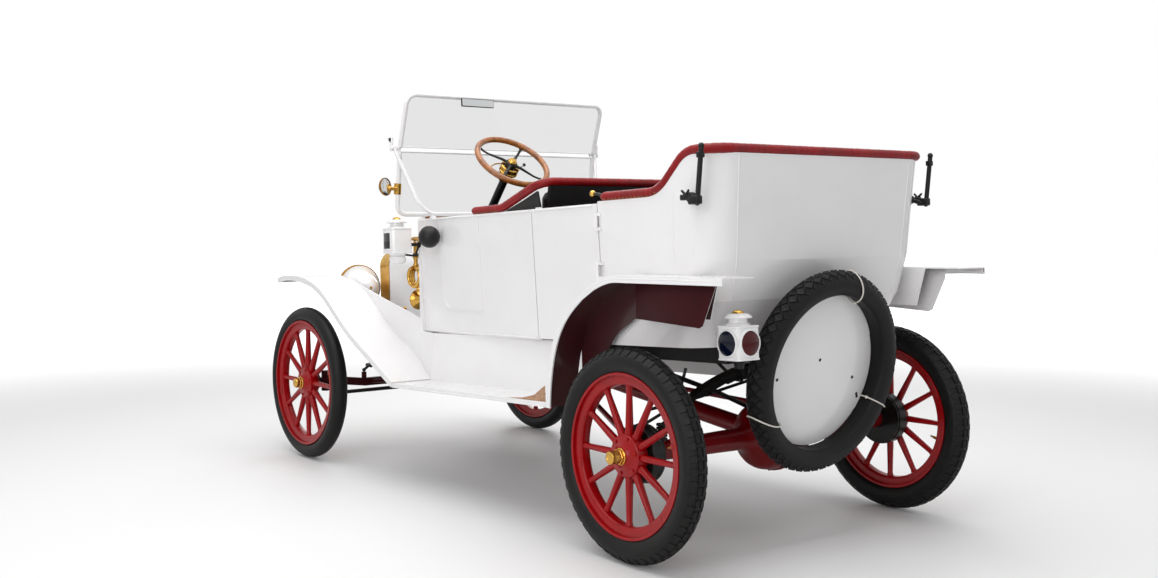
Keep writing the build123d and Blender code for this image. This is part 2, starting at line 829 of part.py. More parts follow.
def plan_outline(level, inset, front_y):
    """Plan of the body at one station, as a face, set in from the outside by inset."""
    z = station_heights[level]
    part_up = share_of_height(z)
    front_half = front_half_bottom + (front_half_top - front_half_bottom) * part_up - inset
    pillar_half = pillar_half_bottom + (pillar_half_top - pillar_half_bottom) * part_up - inset
    rear_half = rear_half_widths[level] - inset
    back_y = rear_axle_y + back_offsets[level] - inset
    with BuildSketch(level_plane(z)) as outline:
        with BuildLine():
            Polyline(
                (-front_half, front_y),
                (front_half, front_y),
                (pillar_half, pillar_y),
                (rear_half, back_y),
                (-rear_half, back_y),
                (-pillar_half, pillar_y),
                close=True,
            )
        make_face()
        fillet(outline.vertices().sort_by(Axis.Y)[-2:], corner_radius - inset)
    return outline.sketch


def body_form(inset, front_y):
    with BuildPart() as form:
        loft([plan_outline(level, inset, front_y) for level in range(len(station_heights))], ruled=True)
    return form.part


outer_form = body_form(0, body_front_y)
inner_form = body_form(wall, body_front_y - 60)

with BuildPart() as body_shell:
    add(outer_form)
    add(inner_form, mode=Mode.SUBTRACT)


# Padded rolls on the body's edges


def front_roll_z(y):
    """Height of the front roll's middle along the side, up to the seat back's corner."""
    rise = (front_roll_top_z - front_roll_low_z) / (front_roll_corner_y - front_roll_rise_y)
    return front_roll_low_z + max(0, y - front_roll_rise_y) * rise


def over_wall(y, z):
    """Point over the middle of the side wall."""
    return (body_half_width(y, z) - wall / 2, y, z)


def roll_form(half_path, bends, radius, right_shift=0.0):
    """Round pad along the left edge, across the back and along the right edge."""
    left = [sprung(*point) for point in half_path]
    start_x, start_y, start_z = half_path[0]
    right = [sprung(-start_x, start_y + right_shift, start_z)]
    right += [sprung(-x, y, z) for x, y, z in half_path[1:]]
    points = left + right[::-1]
    with BuildPart() as roll:
        tube_run(points, radius, bends + bends[::-1])
    return roll.part


arm_roll_z = tub_arm_top + roll_radius + roll_gap
back_roll_z = tub_top + roll_radius + roll_gap
roll_shift = 6.0
rear_roll_path = [
    over_wall(pillar_y + 8, arm_roll_z),
    over_wall(tub_rise_start_y - roll_shift, arm_roll_z),
    over_wall(tub_rise_end_y - roll_shift, back_roll_z),
    over_wall(rear_axle_y + back_offsets[-1] - wall / 2 - 6, back_roll_z),
]
rear_roll_bends = [tub_rise_bend - roll_radius, tub_shoulder_bend + roll_radius, corner_radius - 34]
front_roll_path = [
    over_wall(front_roll_start_y, front_roll_low_z),
    over_wall(front_roll_rise_y, front_roll_low_z),
    (front_roll_half, front_roll_corner_y, front_roll_top_z),
]
front_roll_bends = [200, 70]

rear_roll = roll_form(rear_roll_path, rear_roll_bends, roll_radius)
rear_roll.label = "rear_roll"
export_step(rear_roll, "parts/rear_roll.step")

front_roll = roll_form(front_roll_path, front_roll_bends, roll_radius, front_roll_right_shift)
front_roll.label = "front_roll"
export_step(front_roll, "parts/front_roll.step")
front_roll_room = roll_form(
    front_roll_path, front_roll_bends, roll_radius + soft_gap, front_roll_right_shift
)


# Body, split where its panels meet


def front_door_outline(grow):
    """Side view of the front door, or of its opening when grown."""
    with BuildSketch(side_plane(0)) as outline:
        low = front_door_bottom - grow
        with BuildLine():
            FilletPolyline(
                (front_door_front_y - grow, body_top + 200),
                (front_door_front_y - grow, low),
                (front_door_rear_y + grow, low),
                (front_door_rear_y + grow, body_top + 200),
                radius=[front_door_corner, 12],
            )
            Line(
                (front_door_rear_y + grow, body_top + 200),
                (front_door_front_y - grow, body_top + 200),
            )
        make_face()
    return outline.sketch


def rear_door_outline(grow):
    """Side view of a rear door, with its lower rear corner cut round the fender."""
    front = seam_y - grow
    rear = pillar_y + grow
    low = rear_door_bottom - grow
    with BuildSketch(side_plane(0)) as outline:
        with BuildLine():
            FilletPolyline(
                (front, body_top + 200),
                (front, low),
                (rear, low),
                (rear, body_top + 200),
                radius=[12, rear_door_corner + grow],
            )
            Line((rear, body_top + 200), (front, body_top + 200))
        make_face()
    return outline.sketch


def tub_outline():
    """Side view of the rear body: low arm, rise in a double curve, level back."""
    with BuildSketch(side_plane(0)) as outline:
        with BuildLine():
            start = (pillar_y - rear_door_corner, body_bottom)
            edge = FilletPolyline(
                (pillar_y, tub_arm_top),
                (tub_rise_start_y, tub_arm_top),
                (tub_rise_end_y, tub_top),
                (rear_axle_y + 500, tub_top),
                radius=[tub_rise_bend, tub_shoulder_bend],
            )
            Polyline(start, (start[0], door_arc_top), (pillar_y, door_arc_top), edge @ 0)
            Line(edge @ 1, (rear_axle_y + 500, body_bottom))
            Line((rear_axle_y + 500, body_bottom), start)
        make_face()
    return outline.sketch


rear_hinge_y = pillar_y - panel_gap / 2
front_hinge_y = front_door_front_y + panel_gap / 2


def hinge_centre(side, y, z):
    """Point on a door's hinge line, which stands just outside the body."""
    outer = body_half_width(y, hinge_heights[0] + hinge_length)
    return sprung(side * (outer + hinge_reach), y, z)


def hinge_posts(side, y, toward_door):
    """Fixed half of a door's hinges: a barrel above and below each door barrel, and its pin."""
    post_length = 12.0
    for z in hinge_heights:
        reach = (hinge_length + post_length) / 2 + 0.5
        for level in (reach, -reach):
            centre = hinge_centre(side, y, z + level)
            with Locations(Plane(origin=centre, z_dir=upward).location):
                Cylinder(hinge_radius, post_length)
            leaf = centre - rearward * (toward_door * 11) - Vector(side * (hinge_reach + hinge_leaf) / 2, 0, 0)
            with Locations(Plane(origin=leaf, x_dir=(1, 0, 0), z_dir=upward).location):
                Box(hinge_reach + hinge_leaf, 22, post_length)
        rod(hinge_centre(side, y, z - reach), hinge_centre(side, y, z + reach), hinge_pin_radius)


with BuildPart() as tub:
    add(body_shell.part)
    extrude(tub_outline(), amount=900, both=True, mode=Mode.INTERSECT)
    extrude(rear_door_outline(0), amount=900, both=True, mode=Mode.SUBTRACT)
    for side in (1, -1):
        hinge_posts(side, rear_hinge_y, -1)
tub.part.label = "tub"
export_step(tub.part, "parts/tub.step")

bead_form = body_form(-bead_height, body_front_y)

with BuildPart() as front_body:
    add(body_shell.part)
    with BuildSketch(side_plane(0)) as side_view:
        with BuildLine():
            Polyline(
                (body_front_y - 80, body_bottom),
                (seam_y, body_bottom),
                (seam_y, body_top),
                (body_front_y - 80, body_top),
                close=True,
            )
        make_face()
    extrude(side_view.sketch, amount=900, both=True, mode=Mode.INTERSECT)
    # Raised bead of the dummy door on the driver's side
    with BuildPart(mode=Mode.PRIVATE) as bead:
        extrude(front_door_outline(bead_width / 2), amount=900)
        extrude(front_door_outline(-bead_width / 2), amount=900, mode=Mode.SUBTRACT)
        add(bead_form, mode=Mode.INTERSECT)
        add(inner_form, mode=Mode.SUBTRACT)
        with BuildSketch(level_plane(body_top)) as above:
            Rectangle(4000, 4000)
        extrude(above.sketch, amount=400, mode=Mode.SUBTRACT)
    add(bead.part)
    extrude(front_door_outline(0), amount=-900, mode=Mode.SUBTRACT)
    # Panel behind the front seat
    with BuildSketch(side_plane(0)) as back_board:
        with Locations((seam_y - back_board_thickness / 2, (body_bottom + seat_top) / 2 + 8)):
            Rectangle(back_board_thickness, seat_top - body_bottom - 28)
    extrude(back_board.sketch, amount=body_half_width(seam_y, body_bottom) - wall + 6, both=True)
    with BuildSketch(side_plane(0)) as leaning_board:
        with BuildLine():
            Polyline(
                (seam_y - back_board_thickness, seat_top - 6),
                (seam_y, seat_top - 6),
                (front_seat_back_y + back_board_thickness, front_seat_back_top),
                (front_seat_back_y, front_seat_back_top),
                close=True,
            )
        make_face()
    extrude(leaning_board.sketch, amount=front_back_half, both=True)
    hinge_posts(-1, front_hinge_y, 1)
    add(front_roll_room, mode=Mode.SUBTRACT)
front_body.part.label = "front_body"
export_step(front_body.part, "parts/front_body.step")


def make_door(outline, side, hinge_y, toward_door, name):
    """One door, with the two barrels of its hinges on its outer face."""
    with BuildPart() as door:
        add(body_shell.part)
        with BuildSketch(side_plane(0)) as below:
            with Locations((middle_y, (body_bottom + body_top) / 2)):
                Rectangle(4000, body_top - body_bottom)
        extrude(below.sketch, amount=900, both=True, mode=Mode.INTERSECT)
        extrude(outline, amount=side * 900, mode=Mode.INTERSECT)
        for z in hinge_heights:
            centre = hinge_centre(side, hinge_y, z)
            leaf = centre + rearward * (toward_door * 9) - Vector(side * (hinge_reach + hinge_leaf) / 2, 0, 0)
            with Locations(Plane(origin=centre, z_dir=upward).location):
                Cylinder(hinge_radius, hinge_length)
            with Locations(Plane(origin=leaf, x_dir=(1, 0, 0), z_dir=upward).location):
                Box(hinge_reach + hinge_leaf, 18, hinge_length)
            with Locations(Plane(origin=centre, z_dir=upward).location):
                Cylinder(hinge_pin_radius + running_fit, 2 * hinge_length, mode=Mode.SUBTRACT)
    door.part.label = name
    export_step(door.part, "parts/" + name + ".step")


make_door(rear_door_outline(-panel_gap), 1, rear_hinge_y, -1, "door_rear_left")
make_door(rear_door_outline(-panel_gap), -1, rear_hinge_y, -1, "door_rear_right")
make_door(front_door_outline(-panel_gap), -1, front_hinge_y, 1, "door_front_right")


# Floor and seats

with BuildPart() as floor:
    with BuildSketch(level_plane(body_bottom)) as plan:
        Rectangle(4000, 4000)
    extrude(plan.sketch, amount=floor_thickness)
    add(body_form(wall + 0.5, body_front_y + 1), mode=Mode.INTERSECT)
floor.part.label = "floor"
export_step(floor.part, "parts/floor.step")


def seat_block(profile, inset):
    """Seat between the side walls, from its side view."""
    with BuildPart() as seat:
        with BuildSketch(side_plane(0)) as outline:
            with BuildLine():
                Polyline(*profile, close=True)
            make_face()
        extrude(outline.sketch, amount=900, both=True)
        add(body_form(inset, body_front_y + 1), mode=Mode.INTERSECT)
    return seat.part


seat_bottom = body_bottom + floor_thickness + soft_gap
board_face_y = seam_y - back_board_thickness - soft_gap
back_face_y = front_seat_back_y - soft_gap

with BuildPart() as front_seat:
    add(
        seat_block(
            (
                (front_seat_front_y, seat_bottom),
                (board_face_y, seat_bottom),
                (board_face_y, seat_top - 6),
                (back_face_y, front_seat_back_top),
                (back_face_y - front_back_thickness, front_seat_back_top),
                (board_face_y - front_back_thickness, seat_top),
                (front_seat_front_y - 20, seat_top),
            ),
            wall + door_clearance,
        )
    )
    for side in (1, -1):
        # Leather side panel between the body's edge and the roll
        inner_x = body_half_width(seam_y, body_top) - wall - door_clearance - 4
        with BuildSketch(side_plane(0)) as arm_panel:
            with BuildLine():
                Polyline(
                    (arm_start_y + 20, body_top + soft_gap),
                    (seam_y - 6, body_top + soft_gap),
                    (seam_y - 6, body_top + 7),
                    (front_seat_back_y - 6, body_top + 7),
                    (front_seat_back_y - 20, front_roll_z(front_seat_back_y - 20) - 17.5),
                    close=True,
                )
            make_face()
        add(slab(arm_panel.sketch, side, inner_x, inner_x + arm_panel_thickness))
    add(front_roll_room, mode=Mode.SUBTRACT)
front_seat.part.label = "front_seat"
export_step(front_seat.part, "parts/front_seat.step")

rear_back_y = rear_axle_y + back_offsets[0] - wall
rear_seat = seat_block(
    (
        (rear_seat_front_y, seat_bottom),
        (rear_back_y + 400, seat_bottom),
        (rear_back_y + 400, tub_top - 4),
        (rear_axle_y + back_offsets[-1] - wall - rear_back_thickness, tub_top - 4),
        (rear_back_y - rear_back_thickness + 20, seat_top),
        (rear_seat_front_y - 20, seat_top),
    ),
    wall + soft_gap,
)
rear_seat.label = "rear_seat"
export_step(rear_seat, "parts/rear_seat.step")


# Padded rolls on the body's edges

# Windshield


def screen_point(share):
    """Place on the windshield's side view between base, hinge and top."""
    if share <= 1:
        y = screen_base_y + (screen_hinge_y - screen_base_y) * share
        z = screen_base_z + (screen_hinge_z - screen_base_z) * share
        return y, z
    y = screen_hinge_y + (screen_top_y - screen_hinge_y) * (share - 1)
    z = screen_hinge_z + (screen_top_z - screen_hinge_z) * (share - 1)
    return y, z


hinge_gap = screen_tube + 3.0
lower_height = hypot(screen_hinge_y - screen_base_y, screen_hinge_z - screen_base_z)
upper_height = hypot(screen_top_y - screen_hinge_y, screen_top_z - screen_hinge_z)
lower_top = 1 - hinge_gap / lower_height
upper_low = 1 + hinge_gap / upper_height

pivot_y = screen_hinge_y - screen_pivot_forward
pivot_z = screen_hinge_z
lug_radius = 9.0
lug_width = 8.5
pin_radius = 4.5
stay_x = screen_half_width + 25.0
stay_radius = 8.0

with BuildPart() as windshield_lower:
    base_y, base_z = screen_point(0)
    top_y, top_z = screen_point(lower_top)
    tube_run(
        [
            sprung(-screen_half_width, top_y, top_z),
            sprung(-screen_half_width, base_y, base_z),
            sprung(screen_half_width, base_y, base_z),
            sprung(screen_half_width, top_y, top_z),
        ],
        screen_tube,
        [screen_corner, screen_corner],
    )
    rod(
        sprung(-screen_half_width, top_y, top_z),
        sprung(screen_half_width, top_y, top_z),
        screen_tube * 0.8,
    )
    for side in (1, -1):
        # Lug and pin of the folding hinge
        lug_x = side * (screen_half_width - 0.5 - lug_width / 2)
        rod(
            sprung(side * (screen_half_width - 0.5 - lug_width), pivot_y, pivot_z),
            sprung(side * (screen_half_width - 0.5), pivot_y, pivot_z),
            lug_radius,
        )
        rod(
            sprung(side * (screen_half_width - lug_width), pivot_y, pivot_z),
            sprung(side * stay_x, pivot_y, pivot_z),
            pin_radius,
        )
        rod(sprung(lug_x, pivot_y, pivot_z), sprung(lug_x, top_y, top_z - 6), lug_width / 2)
        # Stay back to the body's edge
        foot_y = body_front_y + 112
        foot_x = body_half_width(foot_y, body_top) - wall / 2
        stay = [
            sprung(side * stay_x, pivot_y, pivot_z + stay_radius),
            sprung(side * stay_x, screen_hinge_y + 46, screen_hinge_z - 180),
            sprung(side * foot_x, foot_y, body_top + 46),
            sprung(side * foot_x, foot_y, body_top + soft_gap),
        ]
        tube_run(stay, stay_radius, [90, 34])
windshield_lower.part.label = "windshield_lower"
export_step(windshield_lower.part, "parts/windshield_lower.step")

with BuildPart() as windshield_upper:
    low_y, low_z = screen_point(upper_low)
    tube_run(
        [
            sprung(-screen_half_width, low_y, low_z),
            sprung(-screen_half_width, screen_top_y, screen_top_z),
            sprung(screen_half_width, screen_top_y, screen_top_z),
            sprung(screen_half_width, low_y, low_z),
        ],
        screen_tube,
        [screen_corner, screen_corner],
    )
    rod(
        sprung(-screen_half_width, low_y, low_z),
        sprung(screen_half_width, low_y, low_z),
        screen_tube * 0.8,
    )
    for side in (1, -1):
        lug_x = side * (screen_half_width + 0.5 + lug_width / 2)
        rod(sprung(lug_x, pivot_y, pivot_z), sprung(lug_x, low_y, low_z + 6), lug_width / 2)
        rod(
            sprung(side * (screen_half_width + 0.5), pivot_y, pivot_z),
            sprung(side * (screen_half_width + 0.5 + lug_width), pivot_y, pivot_z),
            lug_radius,
        )
        with Locations(Plane(origin=sprung(lug_x, pivot_y, pivot_z), z_dir=(1, 0, 0)).location):
            Cylinder(pin_radius + running_fit, 2 * lug_width, mode=Mode.SUBTRACT)
windshield_upper.part.label = "windshield_upper"
export_step(windshield_upper.part, "parts/windshield_upper.step")


def make_glass(low_share, high_share, rounded_end, name):
    """Pane between two places on the windshield, with its corners rounded at one end."""
    low = sprung(0, *screen_point(low_share))
    high = sprung(0, *screen_point(high_share))
    up = (high - low).normalized()
    height = (high - low).length
    pane = Plane(origin=low, x_dir=(1, 0, 0), z_dir=Vector(1, 0, 0).cross(up))
    half_width = screen_half_width - screen_tube - 0.4
    with BuildPart() as glass:
        with BuildSketch(pane) as face:
            with Locations((0, height / 2)):
                Rectangle(2 * half_width, height)
            corners = face.vertices().sort_by(Axis.Y)
            rounded = corners[:2] if rounded_end < 0 else corners[-2:]
            fillet(rounded, screen_corner - screen_tube)
        extrude(amount=glass_thickness / 2, both=True)
    glass.part.label = name
    export_step(glass.part, "parts/" + name + ".step")


tube_share_low = (screen_tube + 0.4) / lower_height
tube_share_up = (screen_tube + 0.4) / upper_height
make_glass(tube_share_low, lower_top - tube_share_low, -1, "glass_lower")
make_glass(upper_low + tube_share_up, 2 - tube_share_up, 1, "glass_upper")


# Steering wheel and column

case_bottom = -62.0
case_top = -22.0
column_top = case_bottom - 1.0

with BuildPart() as steering_wheel:
    wheel_disc = Plane(origin=along_column(0), x_dir=(1, 0, 0), z_dir=column_direction)
    with Locations(wheel_disc.location):
        Torus(steering_wheel_radius - steering_rim_radius, steering_rim_radius)
    for turn in range(4):
        angle = radians(45 + 90 * turn)
        reach = steering_wheel_radius - steering_rim_radius
        tip = wheel_disc.from_local_coords((reach * cos(angle), reach * sin(angle), 0))
        root = wheel_disc.from_local_coords((20 * cos(angle), 20 * sin(angle), -14))
        rod(root, tip, 7)
    rod(along_column(case_top + 1), along_column(12), 27)
steering_wheel.part.label = "steering_wheel"
export_step(steering_wheel.part, "parts/steering_wheel.step")

with BuildPart() as steering_column:
    rod(along_column(case_bottom), along_column(case_top), 44)
    rod(along_column(case_bottom), along_column(-column_length), column_radius)
    # Bracket to the frame's side
    bracket = along_column(-column_length + 45)
    rod((rail_x + rail_width / 2 + 0.3, bracket.Y, bracket.Z), bracket, 14)
steering_column.part.label = "steering_column"
export_step(steering_column.part, "parts/steering_column.step")


# Pitman arm at the column's foot, and the drag link from it to the tie rod

arm_hang = column_direction.cross(Vector(1, 0, 0))
pitman_root = along_column(pitman_distance)
pitman_ball = pitman_root - arm_hang * steering_arm_length
if pitman_ball.Z > pitman_root.Z:
    pitman_ball = pitman_root + arm_hang * steering_arm_length

with BuildPart() as pitman_arm:
    rod(along_column(pitman_distance - 13), along_column(pitman_distance + 13), column_radius + 2)
    rod(pitman_root, pitman_ball, 9)
    with Locations(pitman_ball):
        Sphere(pitman_ball_radius)
pitman_arm.part.label = "pitman_arm"
export_step(pitman_arm.part, "parts/pitman_arm.step")

drag_x = -180.0
drag_pad = pitman_ball - Vector(0, 0, pitman_ball_radius + 1)
with BuildPart() as drag_link:
    with Locations(drag_pad - Vector(0, 0, 4)):
        Cylinder(17, 8)
    start = drag_pad - Vector(0, 0, 12)
    end = Vector(drag_x, arm_end_y, tie_rod_z + tie_rod_radius + 14)
    rod(start, end, 8)
    with Locations(start + Vector(0, 0, 2)):
        Cylinder(9, 18)
    with Locations((drag_x, arm_end_y, tie_rod_z + tie_rod_radius + 12.3)):
        Cylinder(14, 24)
drag_link.part.label = "drag_link"
export_step(drag_link.part, "parts/drag_link.step")


# Fenders and running boards


def rear_fender_line():
    """Top line of the rear fender in side view."""
    with BuildLine() as line:
        Spline(
            (board_rear_y - 4, board_top - board_thickness),
            (rear_axle_y - 480, 637),
            (rear_axle_y - 413, 779),
            (rear_axle_y - 295, 884),
            (rear_axle_y - 182, 940),
            (rear_axle_y - 75, 960),
            tangents=[(0.08, 1), (1, 0)],
        )
        Line((rear_axle_y - 75, 960), (rear_axle_y + 473, 947))
    return line.line


def front_fender_line():
    """Top line of the front fender in side view."""
    with BuildLine() as line:
        Spline(
            (front_axle_y - 362, 962),
            (front_axle_y - 180, 974),
            (front_axle_y, 949),
            (front_axle_y + 134, 899),
            (front_axle_y + 292, 791),
            (front_axle_y + 443, 689),
            (front_axle_y + 638, 588),
            (board_front_y + 0.6, board_top + 4),
            tangents=[(1, 0.25), (1, -0.5)],
        )
    return line.line


def strip(line, thickness):
    """Face in side view between a line and the same line moved to its lower side."""
    count = 18
    moved = []
    for step in range(count + 1):
        along = line % (step / count)
        moved.append(line @ (step / count) + Vector(along.Y, -along.X) * thickness)
    with BuildSketch(side_plane(0)) as band:
        with BuildLine():
            add(line)
            Spline(*moved)
            Line(line @ 0, moved[0])
            Line(line @ 1, moved[-1])
        make_face()
    return band.sketch


def make_fenders(line, inner_x, inner_panel, name):
    """Pair of fenders: sheet, hanging outer lip, and a panel along the inner edge."""
    sheet = strip(line, fender_sheet)
    lip = strip(line, fender_lip)
    with BuildPart() as fenders:
        for side in (1, -1):
            add(slab(sheet, side, inner_x, fender_outer_x))
            add(slab(lip, side, fender_outer_x - fender_sheet, fender_outer_x))
            add(slab(inner_panel, side, inner_x, inner_x + fender_sheet))
    fenders.part.label = name
    export_step(fenders.part, "parts/" + name + ".step")


with BuildPart() as rear_skirt:
    extrude(strip(rear_fender_line(), skirt_depth), amount=1)
    with BuildSketch(side_plane(0)) as skirt_limit:
        with BuildLine():
            Polyline(
                (rear_axle_y - 465, 560),
                (rear_axle_y + 180, 560),
                (rear_axle_y + 313, 970),
                (rear_axle_y - 465, 970),
                close=True,
            )
        make_face()
    extrude(skirt_limit.sketch, amount=1, mode=Mode.INTERSECT)
rear_panel = rear_skirt.faces().sort_by(Axis.X)[0]

with BuildPart() as front_filler:
    with BuildSketch(side_plane(0)) as filler:
        with BuildLine():
            Polyline(
                (front_axle_y + 6, 944),
                (front_axle_y + 321, 857),
                (front_axle_y + 706, 760),
                (front_axle_y + 706, 548),
                (front_axle_y + 638, 584),
                (front_axle_y + 443, 685),
                (front_axle_y + 292, 787),
                (front_axle_y + 134, 895),
                close=True,
            )
        make_face()
    extrude(filler.sketch, amount=1)
front_panel = front_filler.faces().sort_by(Axis.X)[0]

make_fenders(rear_fender_line(), rear_fender_inner_x, rear_panel, "rear_fenders")
make_fenders(front_fender_line(), front_fender_inner_x, front_panel, "front_fenders")

with BuildPart() as running_boards:
    for side in (1, -1):
        apron_top_x = front_half_bottom + 20
        with BuildSketch(cross_plane(board_rear_y - 5)) as section:
            with BuildLine():
                Polyline(
                    (side * fender_outer_x, board_top - board_thickness),
                    (side * fender_outer_x, board_top),
                    (side * board_inner_x, board_top),
                    (side * apron_top_x, body_bottom - 1),
                    (side * (apron_top_x - 5), body_bottom - 1),
                    (side * (board_inner_x - 5), board_top - 4),
                    (side * (board_inner_x - 5), board_top - 8),
                    (side * (fender_outer_x - 6), board_top - 8),
                    (side * (fender_outer_x - 6), board_top - board_thickness),
                    close=True,
                )
            make_face()
        extrude(section.sketch, amount=board_rear_y - 5 - board_front_y - 1)
running_boards.part.label = "running_boards"
export_step(running_boards.part, "parts/running_boards.step")


# Lamps, horn, spare tyre and top irons

with BuildPart() as headlamps:
    for side in (1, -1):
        spot = sprung(side * headlamp_x, headlamp_y, headlamp_z)
        with BuildSketch(Plane(origin=spot, x_dir=(-1, 0, 0), z_dir=-upward)) as half_lamp:
            with BuildLine():
                Polyline((0, 150), (0, 0), (headlamp_rim_radius, 0), (headlamp_rim_radius, 26), (90, 34))
                Spline((90, 34), (68, 118), (0, 150), tangents=[(-0.12, 1), (-1, 0)])
            make_face()
        revolve(half_lamp.sketch, axis=Axis(spot, rearward))
        fork_y = headlamp_y + 70
        tube_run(
            [
                sprung(side * headlamp_x, fork_y, headlamp_z - 40),
                sprung(side * headlamp_x, fork_y, headlamp_z - 190),
                sprung(side * (rail_x + 10), frame_front_y - 40, frame_top - 40),
                sprung(side * (rail_x + 10), frame_front_y - 0.6, frame_top - 40),
            ],
            lamp_bracket_radius,
            [30, 16],
        )
headlamps.part.label = "headlamps"
export_step(headlamps.part, "parts/headlamps.step")


def lamp_body(x, y, z):
    """Oil lamp: bevelled box, chimney with its caps, and the font below."""
    with BuildSketch(level_plane(z - lamp_box_height / 2)) as box:
        with Locations((x, y)):
            Rectangle(lamp_box, lamp_box)
        chamfer(box.vertices(), lamp_bevel)
    extrude(box.sketch, amount=lamp_box_height)
    with BuildSketch(level_plane(z + lamp_box_height / 2)) as neck:
        with Locations((x, y)):
            Circle(lamp_box * 0.3)
    extrude(neck.sketch, amount=26)
    with BuildSketch(level_plane(z + lamp_box_height / 2 + 20)) as cap:
        with Locations((x, y)):
            Circle(lamp_box * 0.46)
    extrude(cap.sketch, amount=18, taper=30)
    with BuildSketch(level_plane(z + lamp_box_height / 2 + 38)) as tip:
        with Locations((x, y)):
            Circle(lamp_box * 0.2)
    extrude(tip.sketch, amount=14, taper=20)
    with BuildSketch(level_plane(z - lamp_box_height / 2)) as font:
        with Locations((x, y)):
            Circle(lamp_box * 0.36)
    extrude(font.sketch, amount=-50, taper=12)


side_lamp_y = body_front_y - 41.0
side_lamp_z = 1130.0
with BuildPart() as side_lamps:
    for side in (1, -1):
        lamp_body(side * side_lamp_x, side_lamp_y, side_lamp_z)
        rod(
            sprung(side * (dash_half_width + 0.3), dash_y + dash_thickness / 2, side_lamp_z - 20),
            sprung(side * (side_lamp_x - lamp_box / 2 + 10), dash_y + dash_thickness / 2, side_lamp_z - 20),
            8,
        )
side_lamps.part.label = "side_lamps"
export_step(side_lamps.part, "parts/side_lamps.step")

tail_lamp_y = rear_axle_y + 322.0
tail_lamp_z = 722.0
with BuildPart() as tail_lamp:
    lamp_body(tail_lamp_x, tail_lamp_y, tail_lamp_z)
    tube_run(
        [
            sprung(tail_lamp_x, tail_lamp_y - lamp_box / 2 + 8, tail_lamp_z - 30),
            sprung(tail_lamp_x - 70, tail_lamp_y - 126, frame_top - 22),
            sprung(rail_x - 24, frame_rear_y + 30, frame_top - 36),
            sprung(rail_x - 24, frame_rear_y + 0.6, frame_top - 36),
        ],
        lamp_bracket_radius,
        [40, 16],
    )
tail_lamp.part.label = "tail_lamp"
export_step(tail_lamp.part, "parts/tail_lamp.step")

horn_y = body_front_y + 187.0
horn_z = 1141.0
horn_x = dash_half_width - 20.0
horn_pipe_y = dash_y - 62.0
horn_coil_z = 955.0
horn_coil_radius = 45.0
horn_pipe_radius = 11.0
horn_corner_x = dash_half_width + 36.0
horn_bell_x = 420.0
horn_bell_y = dash_y - 26.0
horn_bell_z = 846.0
horn_bell_radius = 48.0
horn_bell_length = 70.0
ball_x = body_half_width(horn_y, horn_z) + horn_ball_radius + 6
ball_spot = sprung(ball_x, horn_y, horn_z)
neck = sprung(ball_x - 22, horn_y - 110, horn_z - 4)
neck_radius = 14.0
with BuildPart() as horn_ball:
    with Locations(ball_spot):
        Sphere(horn_ball_radius)
    with BuildPart(mode=Mode.PRIVATE) as neck_room:
        rod(ball_spot, neck, neck_radius + 0.3)
    add(neck_room.part, mode=Mode.SUBTRACT)
horn_ball.part.label = "horn_ball"
export_step(horn_ball.part, "parts/horn_ball.step")

with BuildPart() as bulb_horn:
    rod(ball_spot + (neck - ball_spot) * 0.02, neck, neck_radius)
    tube_run(
        [
            neck + rearward * 8,
            sprung(horn_corner_x, dash_y + 16, horn_z - 4),
            sprung(horn_x, horn_pipe_y, horn_z - 12),
            sprung(horn_x, horn_pipe_y, horn_coil_z + horn_coil_radius - 4),
        ],
        horn_pipe_radius,
        [20, 20],
    )
    coil = Plane(origin=sprung(horn_x, horn_pipe_y, horn_coil_z), z_dir=(1, 0, 0))
    with Locations(coil.location):
        Torus(horn_coil_radius, horn_pipe_radius)
    # Bell below the coil, opening forward
    bell_root = sprung(horn_bell_x, horn_bell_y, horn_bell_z)
    rod(sprung(horn_x, horn_pipe_y, horn_coil_z - horn_coil_radius), bell_root, horn_pipe_radius)
    with BuildSketch(Plane(origin=bell_root, x_dir=(-1, 0, 0), z_dir=-upward)) as half_bell:
        with BuildLine():
            mouth_y = -horn_bell_length
            Polyline((horn_bell_radius, mouth_y), (0, mouth_y), (0, 14), (14, 14))
            Spline(
                (14, 14),
                (20, 0.5 * mouth_y),
                (horn_bell_radius, mouth_y),
                tangents=[(0, -1), (1, -0.4)],
            )
        make_face()
    revolve(half_bell.sketch, axis=Axis(bell_root, rearward))
    # Strap back to the dash
    rod(
        sprung(horn_x, horn_pipe_y, horn_z - 80),
        sprung(horn_x, dash_y - 0.3, horn_z - 80),
        8,
    )
bulb_horn.part.label = "bulb_horn"
export_step(bulb_horn.part, "parts/bulb_horn.step")

spare_spot = sprung(spare_x, spare_y, spare_z)
spare_normal = rearward * cos(radians(spare_lean)) - upward * sin(radians(spare_lean))
spare_up = upward * cos(radians(spare_lean)) + rearward * sin(radians(spare_lean))

with BuildPart() as spare_tyre:
    height = rear_tyre_height
    with BuildSketch(Plane(origin=spare_spot, x_dir=spare_up, z_dir=(1, 0, 0))) as section:
        with Locations((wheel_radius - height * 0.57, 0)):
            Ellipse(height * 0.57, rear_tyre_half_width)
        with Locations(((wheel_radius - height) / 2, 0)):
            Rectangle(wheel_radius - height, 200, mode=Mode.SUBTRACT)
    revolve(section.sketch, axis=Axis(spare_spot, spare_normal))
spare_tyre.part.label = "spare_tyre"
export_step(spare_tyre.part, "parts/spare_tyre.step")

with BuildPart() as spare_carrier:
    plate = Plane(origin=spare_spot, x_dir=(1, 0, 0), z_dir=spare_normal)
    with BuildSketch(plate.offset(-26)) as disc:
        Circle(wheel_radius - height - 1)
    extrude(disc.sketch, amount=-5)
    for side in (1, -1):
        rod(
            sprung(side * 150, frame_rear_y + 2.5, frame_top - 38),
            sprung(side * 150, spare_y - 20, spare_z + 40),
            12,
        )
spare_carrier.part.label = "spare_carrier"
export_step(spare_carrier.part, "parts/spare_carrier.step")

